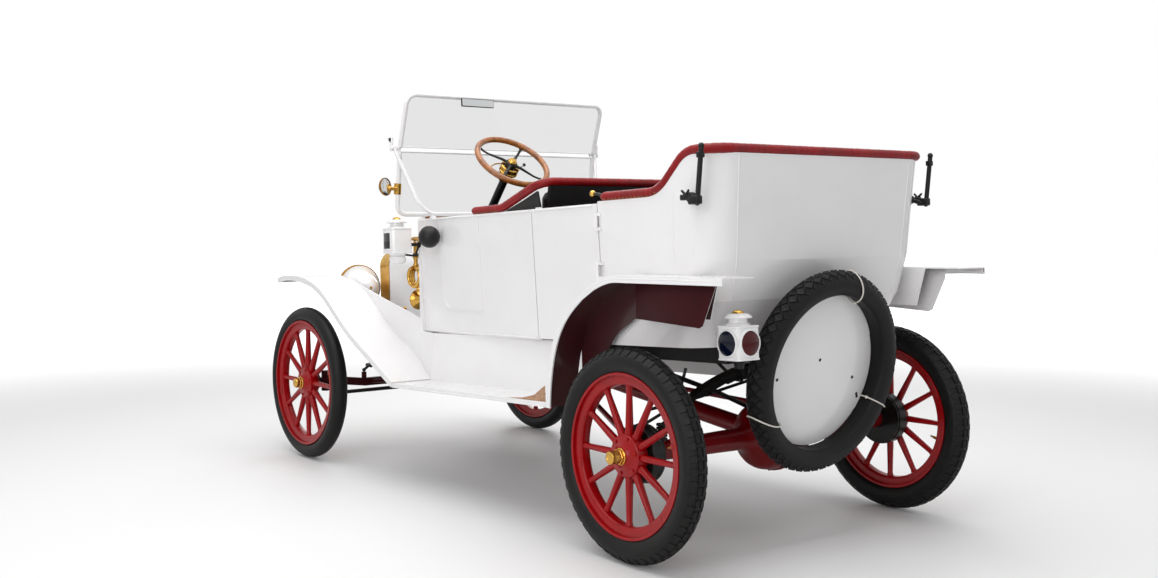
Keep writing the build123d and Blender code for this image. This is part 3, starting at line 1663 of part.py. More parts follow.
iron_top = (rear_axle_y + 299.0, 1388.0)
iron_low = (rear_axle_y + 272.0, 1201.0)
iron_foot = (rear_axle_y + 202.0, 1228.0)
with BuildPart() as top_irons:
    for side in (1, -1):
        foot_x = body_half_width(*iron_foot)
        rod(sprung(side * top_iron_x, *iron_low), sprung(side * top_iron_x, *iron_top), 9)
        rod(sprung(side * top_iron_x, *iron_low), sprung(side * (foot_x + 14), *iron_foot), 9)
        rod(sprung(side * (foot_x + 22), *iron_foot), sprung(side * (foot_x + 0.8), *iron_foot), 13)
        with Locations(sprung(side * top_iron_x, *iron_low)):
            Sphere(10)
top_irons.part.label = "top_irons"
export_step(top_irons.part, "parts/top_irons.step")

mirror_x = 648.0
mirror_y = screen_base_y + 20.0
mirror_z = 1378.0
with BuildPart() as side_mirror:
    rod(
        sprung(mirror_x, mirror_y - 8, mirror_z),
        sprung(mirror_x, mirror_y + 8, mirror_z),
        mirror_radius,
    )
    rod(
        sprung(screen_half_width + screen_tube + 0.4, mirror_y, mirror_z - 20),
        sprung(mirror_x - 20, mirror_y, mirror_z - 20),
        5,
    )
side_mirror.part.label = "side_mirror"
export_step(side_mirror.part, "parts/side_mirror.step")
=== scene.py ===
"""Dressed scene of a white open touring car with brass lamps and red wooden wheels.

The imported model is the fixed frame. Sizes are millimetres, in the level drawing of the
car, unless a name says otherwise, and they become metres as each piece is made.
"""

import logging
import math
from dataclasses import dataclass
from enum import Enum
from typing import Sequence

import bmesh
import bpy
from mathutils import Matrix, Vector, noise


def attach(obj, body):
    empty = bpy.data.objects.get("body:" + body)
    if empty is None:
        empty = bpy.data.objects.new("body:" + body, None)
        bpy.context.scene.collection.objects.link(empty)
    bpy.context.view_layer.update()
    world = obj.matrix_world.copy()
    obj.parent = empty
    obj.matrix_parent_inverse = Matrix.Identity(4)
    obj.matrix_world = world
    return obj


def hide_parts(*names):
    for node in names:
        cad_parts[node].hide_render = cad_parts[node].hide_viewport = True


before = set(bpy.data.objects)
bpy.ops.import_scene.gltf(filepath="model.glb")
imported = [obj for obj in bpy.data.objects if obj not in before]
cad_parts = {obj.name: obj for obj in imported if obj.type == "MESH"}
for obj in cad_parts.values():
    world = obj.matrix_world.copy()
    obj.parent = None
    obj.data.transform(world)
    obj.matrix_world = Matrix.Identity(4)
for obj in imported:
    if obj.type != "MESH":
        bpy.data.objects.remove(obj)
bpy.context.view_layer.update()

logging.basicConfig(level=logging.INFO, format="%(message)s")
log = logging.getLogger("touring_car")

MM = 0.001
MIDDLE_Y = -36.0
FRONT_AXLE_Y = MIDDLE_Y - 1270.0
REAR_AXLE_Y = MIDDLE_Y + 1270.0
BODY_FRONT_Y = FRONT_AXLE_Y + 732.0
DASH_Y = BODY_FRONT_Y - 22.0
SEAM_Y = REAR_AXLE_Y - 820.0
PILLAR_Y = REAR_AXLE_Y - 345.0
WHEEL_RADIUS = 381.0
HALF_TRACK = 711.0
BODY_TOP = 1230.0
WALL = 22.0
RAKE = math.radians(2.35)
PIVOT = Vector((0.0, MIDDLE_Y, 600.0))

FLAT = Matrix.Scale(MM, 4)
TILT = Matrix.Rotation(RAKE, 4, "X")
RAKED = FLAT @ Matrix.Translation(PIVOT) @ TILT @ Matrix.Translation(-PIVOT)

Point = Sequence[float]


def srgb(red: int, green: int, blue: int) -> tuple[float, float, float]:
    """Colour as it is written on a screen, turned to the shader's linear values."""
    shares = (red / 255, green / 255, blue / 255)
    return tuple(c / 12.92 if c <= 0.04045 else ((c + 0.055) / 1.055) ** 2.4 for c in shares)


def axes_at(origin: Point, along: Point, across: Point = (1, 0, 0)) -> Matrix:
    """Frame whose z runs along one direction and whose x lies nearest another.

    Args:
        origin: Place of the frame, in millimetres.
        along: Direction of its z axis.
        across: Direction that its x axis follows as nearly as it can.

    Returns:
        The frame as a matrix without scale.
    """
    z_axis = Vector(along).normalized()
    y_axis = z_axis.cross(Vector(across))
    if y_axis.length < 1e-6:
        y_axis = z_axis.cross(Vector((0, 0, 1)))
    y_axis.normalize()
    x_axis = y_axis.cross(z_axis)
    turned = Matrix((x_axis, y_axis, z_axis)).transposed().to_4x4()
    return Matrix.Translation(Vector(origin)) @ turned


def rounded(points: Sequence[Point], radii: Sequence[float], steps: int = 8) -> list[Vector]:
    """Line through points with an arc at each inner corner.

    Args:
        points: Corners of the line.
        radii: Radius of the arc at each inner corner.
        steps: Runs that each arc is divided into.

    Returns:
        Points along the line.
    """
    corners = [Vector(p) for p in points]
    line = [corners[0]]
    for before, corner, after, radius in zip(corners, corners[1:], corners[2:], radii):
        to_before = (before - corner).normalized()
        to_after = (after - corner).normalized()
        angle = to_before.angle(to_after)
        cut = radius / math.tan(angle / 2)
        start, end = corner + to_before * cut, corner + to_after * cut
        centre = corner + (to_before + to_after).normalized() * (radius / math.sin(angle / 2))
        first, last = start - centre, end - centre
        whole = first.angle(last)
        for step in range(steps + 1):
            share = step / steps
            turned = first * math.sin((1 - share) * whole) + last * math.sin(share * whole)
            line.append(centre + turned / math.sin(whole))
    line.append(corners[-1])
    return line


def divided(points: Sequence[Vector], pitch: float) -> list[Vector]:
    """Points of a line with more put in, so that none are farther apart than pitch."""
    result = [points[0].copy()]
    for start, end in zip(points, points[1:]):
        count = max(1, math.ceil((end - start).length / pitch))
        result += [start.lerp(end, step / count) for step in range(1, count + 1)]
    return result


class Grain(Enum):
    """Kinds of fine surface that a finish may have."""

    PAINT = "paint"
    LEATHER = "leather"
    WOOD = "wood"
    RUBBER = "rubber"
    METAL = "metal"
    CAST = "cast"


class Graph:
    """Adds nodes to a tree, with their inputs, in plain calls."""

    def __init__(self, tree: bpy.types.NodeTree) -> None:
        """Works on one tree.

        Args:
            tree: The shader or geometry tree.
        """
        self.tree = tree

    def feed(self, socket: bpy.types.NodeSocket, value: object) -> None:
        """Links a socket or a node's first output to an input, or sets its number."""
        if isinstance(value, bpy.types.Node):
            value = value.outputs[0]
        if isinstance(value, bpy.types.NodeSocket):
            self.tree.links.new(value, socket)
        else:
            socket.default_value = value

    def add(self, kind: str, *values: object, named: dict | None = None,
            **settings: object) -> bpy.types.Node:
        """Makes one node.

        Args:
            kind: Blender's name for the node's type.
            values: Inputs in their order, with None for one left alone.
            named: Inputs by name.
            settings: The node's own settings.

        Returns:
            The node.
        """
        node = self.tree.nodes.new(kind)
        for key, value in settings.items():
            setattr(node, key, value)
        for socket, value in zip(node.inputs, values):
            if value is not None:
                self.feed(socket, value)
        for key, value in (named or {}).items():
            self.feed(node.inputs[key], value)
        return node

    def math(self, operation: str, *values: object) -> bpy.types.NodeSocket:
        """Result of one sum on numbers."""
        return self.add("ShaderNodeMath", *values, operation=operation).outputs[0]

    def mix(self, share: object, first: object, second: object) -> bpy.types.NodeSocket:
        """Colour between two others."""
        node = self.tree.nodes.new("ShaderNodeMix")
        node.data_type = "RGBA"
        self.feed(node.inputs[0], share)
        self.feed(node.inputs[6], first)
        self.feed(node.inputs[7], second)
        return node.outputs[2]

    def ramp(self, value: object, low: float, high: float) -> bpy.types.NodeSocket:
        """Smooth step from 0 at low to 1 at high."""
        node = self.add("ShaderNodeMapRange", value, low, high, interpolation_type="SMOOTHSTEP")
        return node.outputs[0]


def new_tree(name: str, kind: str, inputs: dict[str, str],
             outputs: dict[str, str]) -> tuple[Graph, dict, dict]:
    """Starts a node group.

    Args:
        name: Name of the group.
        kind: Shader or geometry tree, in Blender's words.
        inputs: Socket type of each named input.
        outputs: Socket type of each named output.

    Returns:
        The graph, the sockets that bring inputs in, and those that take outputs.
    """
    tree = bpy.data.node_groups.new(name, kind)
    for key, socket_type in inputs.items():
        tree.interface.new_socket(key, in_out="INPUT", socket_type=socket_type)
    for key, socket_type in outputs.items():
        tree.interface.new_socket(key, in_out="OUTPUT", socket_type=socket_type)
    start, end = tree.nodes.new("NodeGroupInput"), tree.nodes.new("NodeGroupOutput")
    return Graph(tree), {s.name: s for s in start.outputs}, {s.name: s for s in end.inputs}


class SurfaceGroups:
    """Node groups for effects that several materials share, each built once."""

    def __init__(self) -> None:
        """Builds every group."""
        self.tone = self._tone()
        self.relief = {
            Grain.PAINT: self._fine("Paint ripple", 60.0, 3.0),
            Grain.RUBBER: self._fine("Rubber bloom", 160.0, 4.0),
            Grain.METAL: self._fine("Metal polish", 90.0, 2.0),
            Grain.CAST: self._fine("Cast skin", 220.0, 6.0),
            Grain.LEATHER: self._leather(),
            Grain.WOOD: self._wood(),
        }

    @staticmethod
    def _tone() -> bpy.types.NodeTree:
        """Colour that varies in soft patches, with road dust low down."""
        graph, given, result = new_tree(
            "Surface tone",
            "ShaderNodeTree",
            {"Colour": "NodeSocketColor", "Second": "NodeSocketColor", "Patches": "NodeSocketFloat",
             "Amount": "NodeSocketFloat", "Dust": "NodeSocketFloat", "Shine": "NodeSocketFloat"},
            {"Colour": "NodeSocketColor", "Roughness": "NodeSocketFloat"},
        )
        place = graph.add("ShaderNodeTexCoord").outputs["Object"]
        cloud = graph.add("ShaderNodeTexNoise", named={"Vector": place, "Scale": given["Patches"],
                                                       "Detail": 5.0})
        patch = graph.ramp(cloud.outputs[0], 0.35, 0.75)
        toned = graph.mix(graph.math("MULTIPLY", patch, given["Amount"]), given["Colour"],
                          given["Second"])
        height = graph.add("ShaderNodeSeparateXYZ", place).outputs["Z"]
        low = graph.ramp(height, 0.75, 0.05)
        specks = graph.add("ShaderNodeTexNoise", named={"Vector": place, "Scale": 38.0,
                                                        "Detail": 8.0})
        dusty = graph.math("MULTIPLY", graph.math("MULTIPLY", low,
                                                  graph.ramp(specks.outputs[0], 0.42, 0.8)),
                           given["Dust"])
        graph.feed(result["Colour"], graph.mix(dusty, toned, (*srgb(150, 132, 112), 1)))
        marks = graph.math("MULTIPLY", graph.math("SUBTRACT", specks.outputs[0], 0.5), 0.16)
        graph.feed(result["Roughness"], graph.math("ADD", graph.math("ADD", given["Shine"], marks),
                                                   graph.math("MULTIPLY", dusty, 0.4)))
        return graph.tree

    @staticmethod
    def _fine(name: str, scale: float, detail: float) -> bpy.types.NodeTree:
        """Fine even relief at one scale."""
        graph, given, result = new_tree(name, "ShaderNodeTree", {"Size": "NodeSocketFloat"},
                                        {"Height": "NodeSocketFloat"})
        place = graph.add("ShaderNodeTexCoord").outputs["Object"]
        spread = graph.math("MULTIPLY", given["Size"], scale)
        skin = graph.add("ShaderNodeTexNoise", named={"Vector": place, "Scale": spread,
                                                      "Detail": detail})
        graph.feed(result["Height"], skin.outputs[0])
        return graph.tree

    @staticmethod
    def _leather() -> bpy.types.NodeTree:
        """Pebbled hide with longer creases over it."""
        graph, given, result = new_tree("Leather grain", "ShaderNodeTree",
                                        {"Size": "NodeSocketFloat"}, {"Height": "NodeSocketFloat"})
        place = graph.add("ShaderNodeTexCoord").outputs["Object"]
        spread = graph.math("MULTIPLY", given["Size"], 420.0)
        pebble = graph.add("ShaderNodeTexVoronoi", feature="DISTANCE_TO_EDGE",
                           named={"Vector": place, "Scale": spread})
        crease = graph.add("ShaderNodeTexNoise", named={"Vector": place, "Scale": 34.0,
                                                        "Detail": 9.0, "Roughness": 0.62})
        grainy = graph.math("MULTIPLY", graph.ramp(pebble.outputs[0], 0.0, 0.25), 0.35)
        graph.feed(result["Height"], graph.math("ADD", grainy, crease.outputs[0]))
        return graph.tree

    @staticmethod
    def _wood() -> bpy.types.NodeTree:
        """Long pores that run along the car."""
        graph, given, result = new_tree("Wood grain", "ShaderNodeTree",
                                        {"Size": "NodeSocketFloat"}, {"Height": "NodeSocketFloat"})
        place = graph.add("ShaderNodeTexCoord").outputs["Object"]
        stretched = graph.add("ShaderNodeMapping", place, named={"Scale": (1.0, 0.16, 1.0)})
        spread = graph.math("MULTIPLY", given["Size"], 130.0)
        pores = graph.add("ShaderNodeTexNoise", named={"Vector": stretched, "Scale": spread,
                                                       "Detail": 6.0, "Distortion": 0.6})
        graph.feed(result["Height"], pores.outputs[0])
        return graph.tree


GROUPS = SurfaceGroups()


@dataclass(frozen=True)
class Finish:
    """One finish of the car, made as a procedural material when it is first used."""

    name: str
    slot: str
    colour: tuple[float, float, float]
    second: tuple[float, float, float]
    roughness: float
    grain: Grain
    metallic: float = 0.0
    coat: float = 0.0
    relief: float = 0.1
    depth: float = 0.0004
    size: float = 1.0
    patches: float = 5.0
    amount: float = 0.5
    dust: float = 0.0
    alpha: float = 1.0
    specular: float = 0.5
    glow: float = 0.0

    def material(self) -> bpy.types.Material:
        """The material, built at its first call."""
        if self.name in bpy.data.materials:
            return bpy.data.materials[self.name]
        made = bpy.data.materials.new(self.name)
        made.use_nodes = True
        graph = Graph(made.node_tree)
        shader = made.node_tree.nodes["Principled BSDF"]
        colour, rough = self.surface(graph)
        graph.feed(shader.inputs["Base Color"], colour)
        graph.feed(shader.inputs["Roughness"], rough)
        graph.feed(shader.inputs["Normal"], self.bump(graph))
        self.set_plain(shader)
        return made

    def surface(self, graph: Graph) -> tuple[bpy.types.NodeSocket, bpy.types.NodeSocket]:
        """Places the tone group in a material.

        Args:
            graph: The material's graph.

        Returns:
            The colour and the roughness.
        """
        tone = graph.add("ShaderNodeGroup", node_tree=GROUPS.tone)
        values = {"Colour": (*self.colour, 1), "Second": (*self.second, 1), "Patches": self.patches,
                  "Amount": self.amount, "Dust": self.dust, "Shine": self.roughness}
        for key, value in values.items():
            graph.feed(tone.inputs[key], value)
        return tone.outputs["Colour"], tone.outputs["Roughness"]

    def bump(self, graph: Graph) -> bpy.types.NodeSocket:
        """Places the relief group and the bump that reads it."""
        skin = graph.add("ShaderNodeGroup", node_tree=GROUPS.relief[self.grain])
        graph.feed(skin.inputs["Size"], self.size)
        raised = graph.add("ShaderNodeBump", named={"Strength": self.relief,
                                                    "Distance": self.depth, "Height": skin})
        return raised.outputs[0]

    def set_plain(self, shader: bpy.types.Node) -> None:
        """Sets the numbers that are the same all over, on the shader's own sockets."""
        shader.inputs["Metallic"].default_value = self.metallic
        shader.inputs["Coat Weight"].default_value = self.coat
        shader.inputs["Coat Roughness"].default_value = 0.06
        shader.inputs["Specular IOR Level"].default_value = self.specular
        shader.inputs["Alpha"].default_value = self.alpha
        if self.glow:
            shader.inputs["Emission Color"].default_value = (*self.colour, 1)
            shader.inputs["Emission Strength"].default_value = self.glow


WHITE = Finish("White paint", "white_paint", srgb(238, 237, 238), srgb(232, 230, 229), 0.2,
               Grain.PAINT, coat=0.5, relief=0.04, dust=0.03)
RED = Finish("Red paint", "red_wood", srgb(152, 1, 9), srgb(124, 1, 7), 0.3, Grain.PAINT,
             coat=0.15, relief=0.06, dust=0.02, patches=9, specular=0.2)
AXLE_RED = Finish("Axle red", "red_paint", srgb(112, 2, 9), srgb(80, 2, 7), 0.32, Grain.PAINT,
                  coat=0.12, relief=0.12, dust=0.04, patches=12, specular=0.2)
MAROON = Finish("Maroon paint", "maroon", srgb(58, 2, 8), srgb(42, 2, 6), 0.42, Grain.PAINT,
                relief=0.1, dust=0.02, patches=8, specular=0.15)
BLACK_IRON = Finish("Black iron", "black_iron", srgb(12, 12, 12), srgb(24, 22, 21), 0.4,
                    Grain.CAST, relief=0.12, dust=0.05, patches=16, specular=0.3)
CAST_IRON = Finish("Grey iron", "cast_iron", srgb(92, 92, 90), srgb(58, 56, 54), 0.6, Grain.CAST,
                   metallic=0.4, relief=0.35, dust=0.3, patches=14)
STEEL = Finish("Bright steel", "cast_iron", srgb(188, 188, 186), srgb(150, 148, 146), 0.26,
               Grain.METAL, metallic=1.0, relief=0.06, patches=30)
BRASS = Finish("Polished brass", "brass", srgb(212, 168, 84), srgb(168, 120, 52), 0.2, Grain.METAL,
               metallic=1.0, relief=0.08, patches=14, amount=0.6)
OLD_BRASS = Finish("Aged brass", "brass", srgb(166, 122, 62), srgb(104, 70, 34), 0.34, Grain.METAL,
                   metallic=1.0, relief=0.14, patches=22, amount=0.8)
TYRE = Finish("Tyre rubber", "tyre", srgb(13, 13, 13), srgb(22, 21, 20), 0.5, Grain.RUBBER,
              relief=0.2, dust=0.02, patches=18, specular=0.22)
RUBBER = Finish("Black rubber", "rubber", srgb(13, 13, 13), srgb(24, 23, 22), 0.4, Grain.RUBBER,
                relief=0.15, patches=20, specular=0.3)
RED_LEATHER = Finish("Crimson leather", "red_leather", srgb(142, 2, 11), srgb(106, 2, 8), 0.38,
                     Grain.LEATHER, coat=0.06, specular=0.25, relief=0.5, depth=0.0016, patches=14,
                     amount=0.8)
BLACK_LEATHER = Finish("Black leather", "black_leather", srgb(15, 14, 14), srgb(27, 25, 24), 0.4,
                       Grain.LEATHER, coat=0.08, specular=0.3, relief=0.45, depth=0.0016,
                       patches=9, amount=0.7)
WOOD = Finish("Varnished wood", "varnished_wood", srgb(164, 98, 34), srgb(112, 60, 20), 0.3,
              Grain.WOOD, coat=0.35, relief=0.12, patches=40, amount=0.9)
DARK_WOOD = Finish("Dark floor wood", "varnished_wood", srgb(92, 56, 34), srgb(58, 34, 22), 0.46,
                   Grain.WOOD, relief=0.2, patches=30, amount=0.9)
# Wood-grained brown for the plates at the boards' rear corners: a painted reflection, not bare
# wood.
BOARD_PAINTED_REFLECTION = Finish("Board painted reflection", "varnished_wood", srgb(176, 138, 108), srgb(140, 104, 78), 0.6,
                   Grain.WOOD, relief=0.25, patches=60, amount=0.9)
GLASS = Finish("Window glass", "glass", srgb(60, 66, 66), srgb(52, 58, 60), 0.04, Grain.PAINT,
               relief=0.01, alpha=0.12, specular=0.6)
# Near-black opaque pane: painted shade of the lamp's unlit inside seen through clear glass.
PANE_PAINTED_SHADE = Finish("Lamp pane painted shade", "glass", srgb(16, 22, 21), srgb(28, 36, 33), 0.05, Grain.PAINT,
                    coat=0.2, relief=0.02, specular=0.4)
RUBY = Finish("Ruby lens", "glass", srgb(78, 2, 6), srgb(44, 1, 4), 0.08, Grain.PAINT, coat=0.1,
              relief=0.04, patches=40, specular=0.25)
BLUE = Finish("Blue lens", "glass", srgb(6, 14, 34), srgb(4, 8, 20), 0.08, Grain.PAINT, coat=0.1,
              relief=0.04, patches=40, specular=0.25)
MIRROR = Finish("Mirror silver", "glass", srgb(214, 216, 216), srgb(200, 200, 204), 0.05,
                Grain.METAL, metallic=1.0, relief=0.01)
TIE = Finish("White cord", "white_paint", srgb(226, 222, 214), srgb(200, 194, 184), 0.6,
             Grain.LEATHER, relief=0.3, size=2.0)


def settle(piece: bpy.types.Object, body: str,
           stands_for: Sequence[str] = ()) -> bpy.types.Object:
    """Fixes a finished piece to its CAD body.

    Args:
        piece: The mesh object, already in place.
        body: CAD body that it moves with.
        stands_for: CAD nodes that it is shown instead of.

    Returns:
        The piece.
    """
    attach(piece, body)
    if stands_for:
        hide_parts(*stands_for)
    log.info("piece %s on %s", piece.name, body)
    return piece


class Shape:
    """One mesh under construction, in millimetres, with a slot for each finish it uses."""

    def __init__(self, name: str, finish: Finish, place: Matrix = RAKED) -> None:
        """Starts an empty mesh.

        Args:
            name: Name of the piece.
            finish: Finish of the first faces.
            place: Matrix that takes the drawing to the car's own frame in metres.
        """
        self.name, self.place = name, place
        self.mesh = bmesh.new()
        self.finishes: list[Finish] = []
        self.use(finish)

    def use(self, finish: Finish) -> "Shape":
        """Gives the faces that follow another finish."""
        if finish not in self.finishes:
            self.finishes.append(finish)
        self.index = self.finishes.index(finish)
        return self

    def face(self, corners: Sequence[bmesh.types.BMVert]) -> None:
        """Adds one face, unless its corners fall together."""
        if len(set(corners)) > 2:
            self.mesh.faces.new(corners).material_index = self.index

    def loft(self, rings: Sequence[Sequence[Point]], closed: bool = False,
             caps: bool = True) -> None:
        """Joins rings of points into a skin.

        Args:
            rings: Rings with the same number of points, or one point for a pole.
            closed: Whether the last ring joins the first.
            caps: Whether open ends are covered.
        """
        made = [[self.mesh.verts.new(p) for p in ring] for ring in rings]
        pairs = list(zip(made, made[1:])) + ([(made[-1], made[0])] if closed else [])
        for low, high in pairs:
            count = max(len(low), len(high))
            for i in range(count):
                j = (i + 1) % count
                corners = [low[i % len(low)], low[j % len(low)], high[j % len(high)],
                           high[i % len(high)]]
                kept = [v for k, v in enumerate(corners) if v is not corners[k - 1]]
                self.face(kept)
        if caps and not closed:
            for ring in (made[0], made[-1]):
                if len(ring) > 2:
                    self.face(ring)

    def lathe(self, profile: Sequence[Point], at: Matrix, steps: int = 40,
              loop: bool = False) -> None:
        """Turns a profile of (radius, distance along z) round the frame's z axis."""
        rings = []
        for radius, along in profile:
            turns = [math.tau * k / steps for k in range(steps)] if radius > 1e-4 else [0.0]
            rings.append([at @ Vector((radius * math.cos(a), radius * math.sin(a), along))
                          for a in turns])
        self.loft(rings, closed=loop)

    def tube(self, points: Sequence[Point], radius: object, sides: int = 12, closed: bool = False,
             flat: float = 1.0) -> None:
        """Round or oval bar along points.

        Args:
            points: The middle line.
            radius: One radius, or one for each point.
            sides: Points in each ring.
            closed: Whether the line is a loop.
            flat: Height of the section as a share of its width.
        """
        line = [Vector(p) for p in points]
        radii = radius if isinstance(radius, (list, tuple)) else [radius] * len(line)
        rings, side = [], None
        for i, spot in enumerate(line):
            before = line[i - 1] if i or closed else spot
            after = line[(i + 1) % len(line)] if i + 1 < len(line) or closed else spot
            run = (after - before).normalized()
            if side is None:
                side = run.cross(Vector((0, 0, 1)))
                side = side if side.length > 1e-3 else Vector((1, 0, 0))
            side = (side - run * side.dot(run)).normalized()
            up = side.cross(run)
            turns = [math.tau * k / sides for k in range(sides)]
            rings.append([spot + (side * math.cos(a) + up * (math.sin(a) * flat)) * radii[i]
                          for a in turns])
        self.loft(rings, closed=closed)

    def rod(self, start: Point, end: Point, radius: float, sides: int = 12) -> None:
        """Straight round bar between two points."""
        self.tube([start, end], radius, sides)

    def ball(self, centre: Point, radius: float, steps: int = 20) -> None:
        """Round ball."""
        arc = [math.pi * k / (steps // 2) for k in range(steps // 2 + 1)]
        self.lathe([(radius * math.sin(a), -radius * math.cos(a)) for a in arc],
                   Matrix.Translation(Vector(centre)), steps)

    def prism(self, outline: Sequence[Point], at: Matrix, thickness: float, bevel: float = 0.0,
              segments: int = 2) -> None:
        """Flat outline pulled along the frame's z axis, with its edges rounded over."""
        part = bmesh.new()
        low = [part.verts.new(at @ Vector((x, y, 0))) for x, y in outline]
        high = [part.verts.new(at @ Vector((x, y, thickness))) for x, y in outline]
        part.faces.new(low)
        part.faces.new(high)
        for i in range(len(low)):
            j = (i + 1) % len(low)
            part.faces.new((low[i], low[j], high[j], high[i]))
        self.take(part, bevel, segments)

    def block(self, low: Point, high: Point, bevel: float = 0.0, segments: int = 2) -> None:
        """Box between two corners, with its edges rounded over."""
        outline = [(low[0], low[1]), (high[0], low[1]), (high[0], high[1]), (low[0], high[1])]
        self.prism(outline, Matrix.Translation(Vector((0, 0, low[2]))), high[2] - low[2], bevel,
                   segments)

    def take(self, part: bmesh.types.BMesh, bevel: float, segments: int) -> None:
        """Rounds a loose part's edges and adds it to this mesh."""
        bmesh.ops.recalc_face_normals(part, faces=part.faces[:])
        if bevel:
            bmesh.ops.bevel(part, geom=part.edges[:], offset=bevel, segments=segments,
                            affect="EDGES", profile=0.5)
        copies = {v: self.mesh.verts.new(v.co) for v in part.verts}
        for face in part.faces:
            self.face([copies[v] for v in face.verts])
        part.free()

    def raw(self, name: str | None = None, smooth: float = 38.0) -> bpy.types.Object:
        """The mesh as an object with no body yet.

        Args:
            name: Name to use instead of the shape's own.
            smooth: Angle below which edges are shaded smooth, in degrees.

        Returns:
            The linked object, at the origin.
        """
        bmesh.ops.remove_doubles(self.mesh, verts=self.mesh.verts[:], dist=0.002)
        bmesh.ops.recalc_face_normals(self.mesh, faces=self.mesh.faces[:])
        self.mesh.transform(self.place)
        data = bpy.data.meshes.new(name or self.name)
        self.mesh.to_mesh(data)
        self.mesh.free()
        for finish in self.finishes:
            data.materials.append(finish.material())
        data.shade_smooth()
        data.set_sharp_from_angle(angle=math.radians(smooth))
        made = bpy.data.objects.new(name or self.name, data)
        bpy.context.scene.collection.objects.link(made)
        return made

    def piece(self, body: str = "car", stands_for: Sequence[str] = (),
              smooth: float = 38.0) -> bpy.types.Object:
        """The finished piece, riding on its body."""
        return settle(self.raw(smooth=smooth), body, stands_for)


class Repeats:
    """Geometry trees that repeat one small shape, each built once."""

    def __init__(self) -> None:
        """Builds the trees."""
        self.ring = self._ring()
        self.row = self._row()
        self.path = self._path()

    @staticmethod
    def _end(graph: Graph, given: dict, result: dict, points: object, turned: object) -> None:
        """Puts the cell on the points and makes the result real."""
        cell = graph.add("GeometryNodeObjectInfo", named={"Object": given["Cell"],
                                                          "As Instance": True})
        placed = graph.add("GeometryNodeInstanceOnPoints",
                           named={"Points": points, "Instance": cell.outputs["Geometry"]})
        if turned is not None:
            graph.feed(placed.inputs["Rotation"], turned)
        real = graph.add("GeometryNodeRealizeInstances", placed)
        dressed = graph.add("GeometryNodeSetMaterial", named={"Geometry": real.outputs[0],
                                                              "Material": given["Finish"]})
        graph.feed(result["Geometry"], dressed.outputs[0])

    def _ring(self) -> bpy.types.NodeTree:
        """Cells turned evenly round the z axis."""
        kinds = {"Cell": "NodeSocketObject", "Count": "NodeSocketInt",
                 "Finish": "NodeSocketMaterial"}
        graph, given, result = new_tree("Ring of shapes", "GeometryNodeTree", kinds,
                                        {"Geometry": "NodeSocketGeometry"})
        points = graph.add("GeometryNodeMeshLine", named={"Count": given["Count"],
                                                          "Offset": (0.0, 0.0, 0.0)})
        step = graph.math("DIVIDE", math.tau, given["Count"])
        angle = graph.math("MULTIPLY", graph.add("GeometryNodeInputIndex").outputs[0], step)
        turned = graph.add("FunctionNodeEulerToRotation",
                           graph.add("ShaderNodeCombineXYZ", 0.0, 0.0, angle).outputs[0])
        self._end(graph, given, result, points.outputs[0], turned.outputs[0])
        return graph.tree

    def _row(self) -> bpy.types.NodeTree:
        """Cells in a straight row."""
        kinds = {"Cell": "NodeSocketObject", "Count": "NodeSocketInt", "Step": "NodeSocketVector",
                 "Finish": "NodeSocketMaterial"}
        graph, given, result = new_tree("Row of shapes", "GeometryNodeTree", kinds,
                                        {"Geometry": "NodeSocketGeometry"})
        points = graph.add("GeometryNodeMeshLine", named={"Count": given["Count"],
                                                          "Offset": given["Step"]})
        self._end(graph, given, result, points.outputs[0], None)
        return graph.tree

    def _path(self) -> bpy.types.NodeTree:
        """Cells along a curve, facing sideways from it."""
        kinds = {"Cell": "NodeSocketObject", "Path": "NodeSocketObject",
                 "Spacing": "NodeSocketFloat", "Facing": "NodeSocketFloat",
                 "Finish": "NodeSocketMaterial"}
        graph, given, result = new_tree("Shapes on a path", "GeometryNodeTree", kinds,
                                        {"Geometry": "NodeSocketGeometry"})
        line = graph.add("GeometryNodeObjectInfo", named={"Object": given["Path"]})
        level = graph.add("GeometryNodeSetCurveNormal", line.outputs["Geometry"], mode="Z_UP")
        points = graph.add("GeometryNodeCurveToPoints", level.outputs[0], mode="LENGTH",
                           named={"Length": given["Spacing"]})
        outward = graph.add("ShaderNodeVectorMath", points.outputs["Normal"], operation="SCALE",
                            named={"Scale": given["Facing"]})
        turned = graph.add("FunctionNodeAlignRotationToVector", axis="Z",
                           named={"Vector": outward.outputs[0]})
        self._end(graph, given, result, points.outputs[0], turned.outputs[0])
        return graph.tree

    @staticmethod
    def grow(tree: bpy.types.NodeTree, name: str, used: Sequence[bpy.types.Object],
             **values: object) -> bpy.types.Object:
        """Runs a tree and keeps its result as a plain mesh.

        Args:
            tree: One of the geometry trees.
            name: Name of the result.
            used: Helper objects to delete afterwards.
            values: The tree's inputs by name.

        Returns:
            The new object, at the origin.
        """
        host = bpy.data.objects.new(name + "_host", bpy.data.meshes.new(name))
        bpy.context.scene.collection.objects.link(host)
        modifier = host.modifiers.new("repeat", "NODES")
        modifier.node_group = tree
        for item in tree.interface.items_tree:
            if item.in_out == "INPUT" and item.name in values:
                modifier[item.identifier] = values[item.name]
        bpy.context.view_layer.update()
        evaluated = host.evaluated_get(bpy.context.evaluated_depsgraph_get())
        data = bpy.data.meshes.new_from_object(evaluated)
        for helper in (host, *used):
            bpy.data.objects.remove(helper)
        made = bpy.data.objects.new(name, data)
        bpy.context.scene.collection.objects.link(made)
        return made


REPEATS = Repeats()


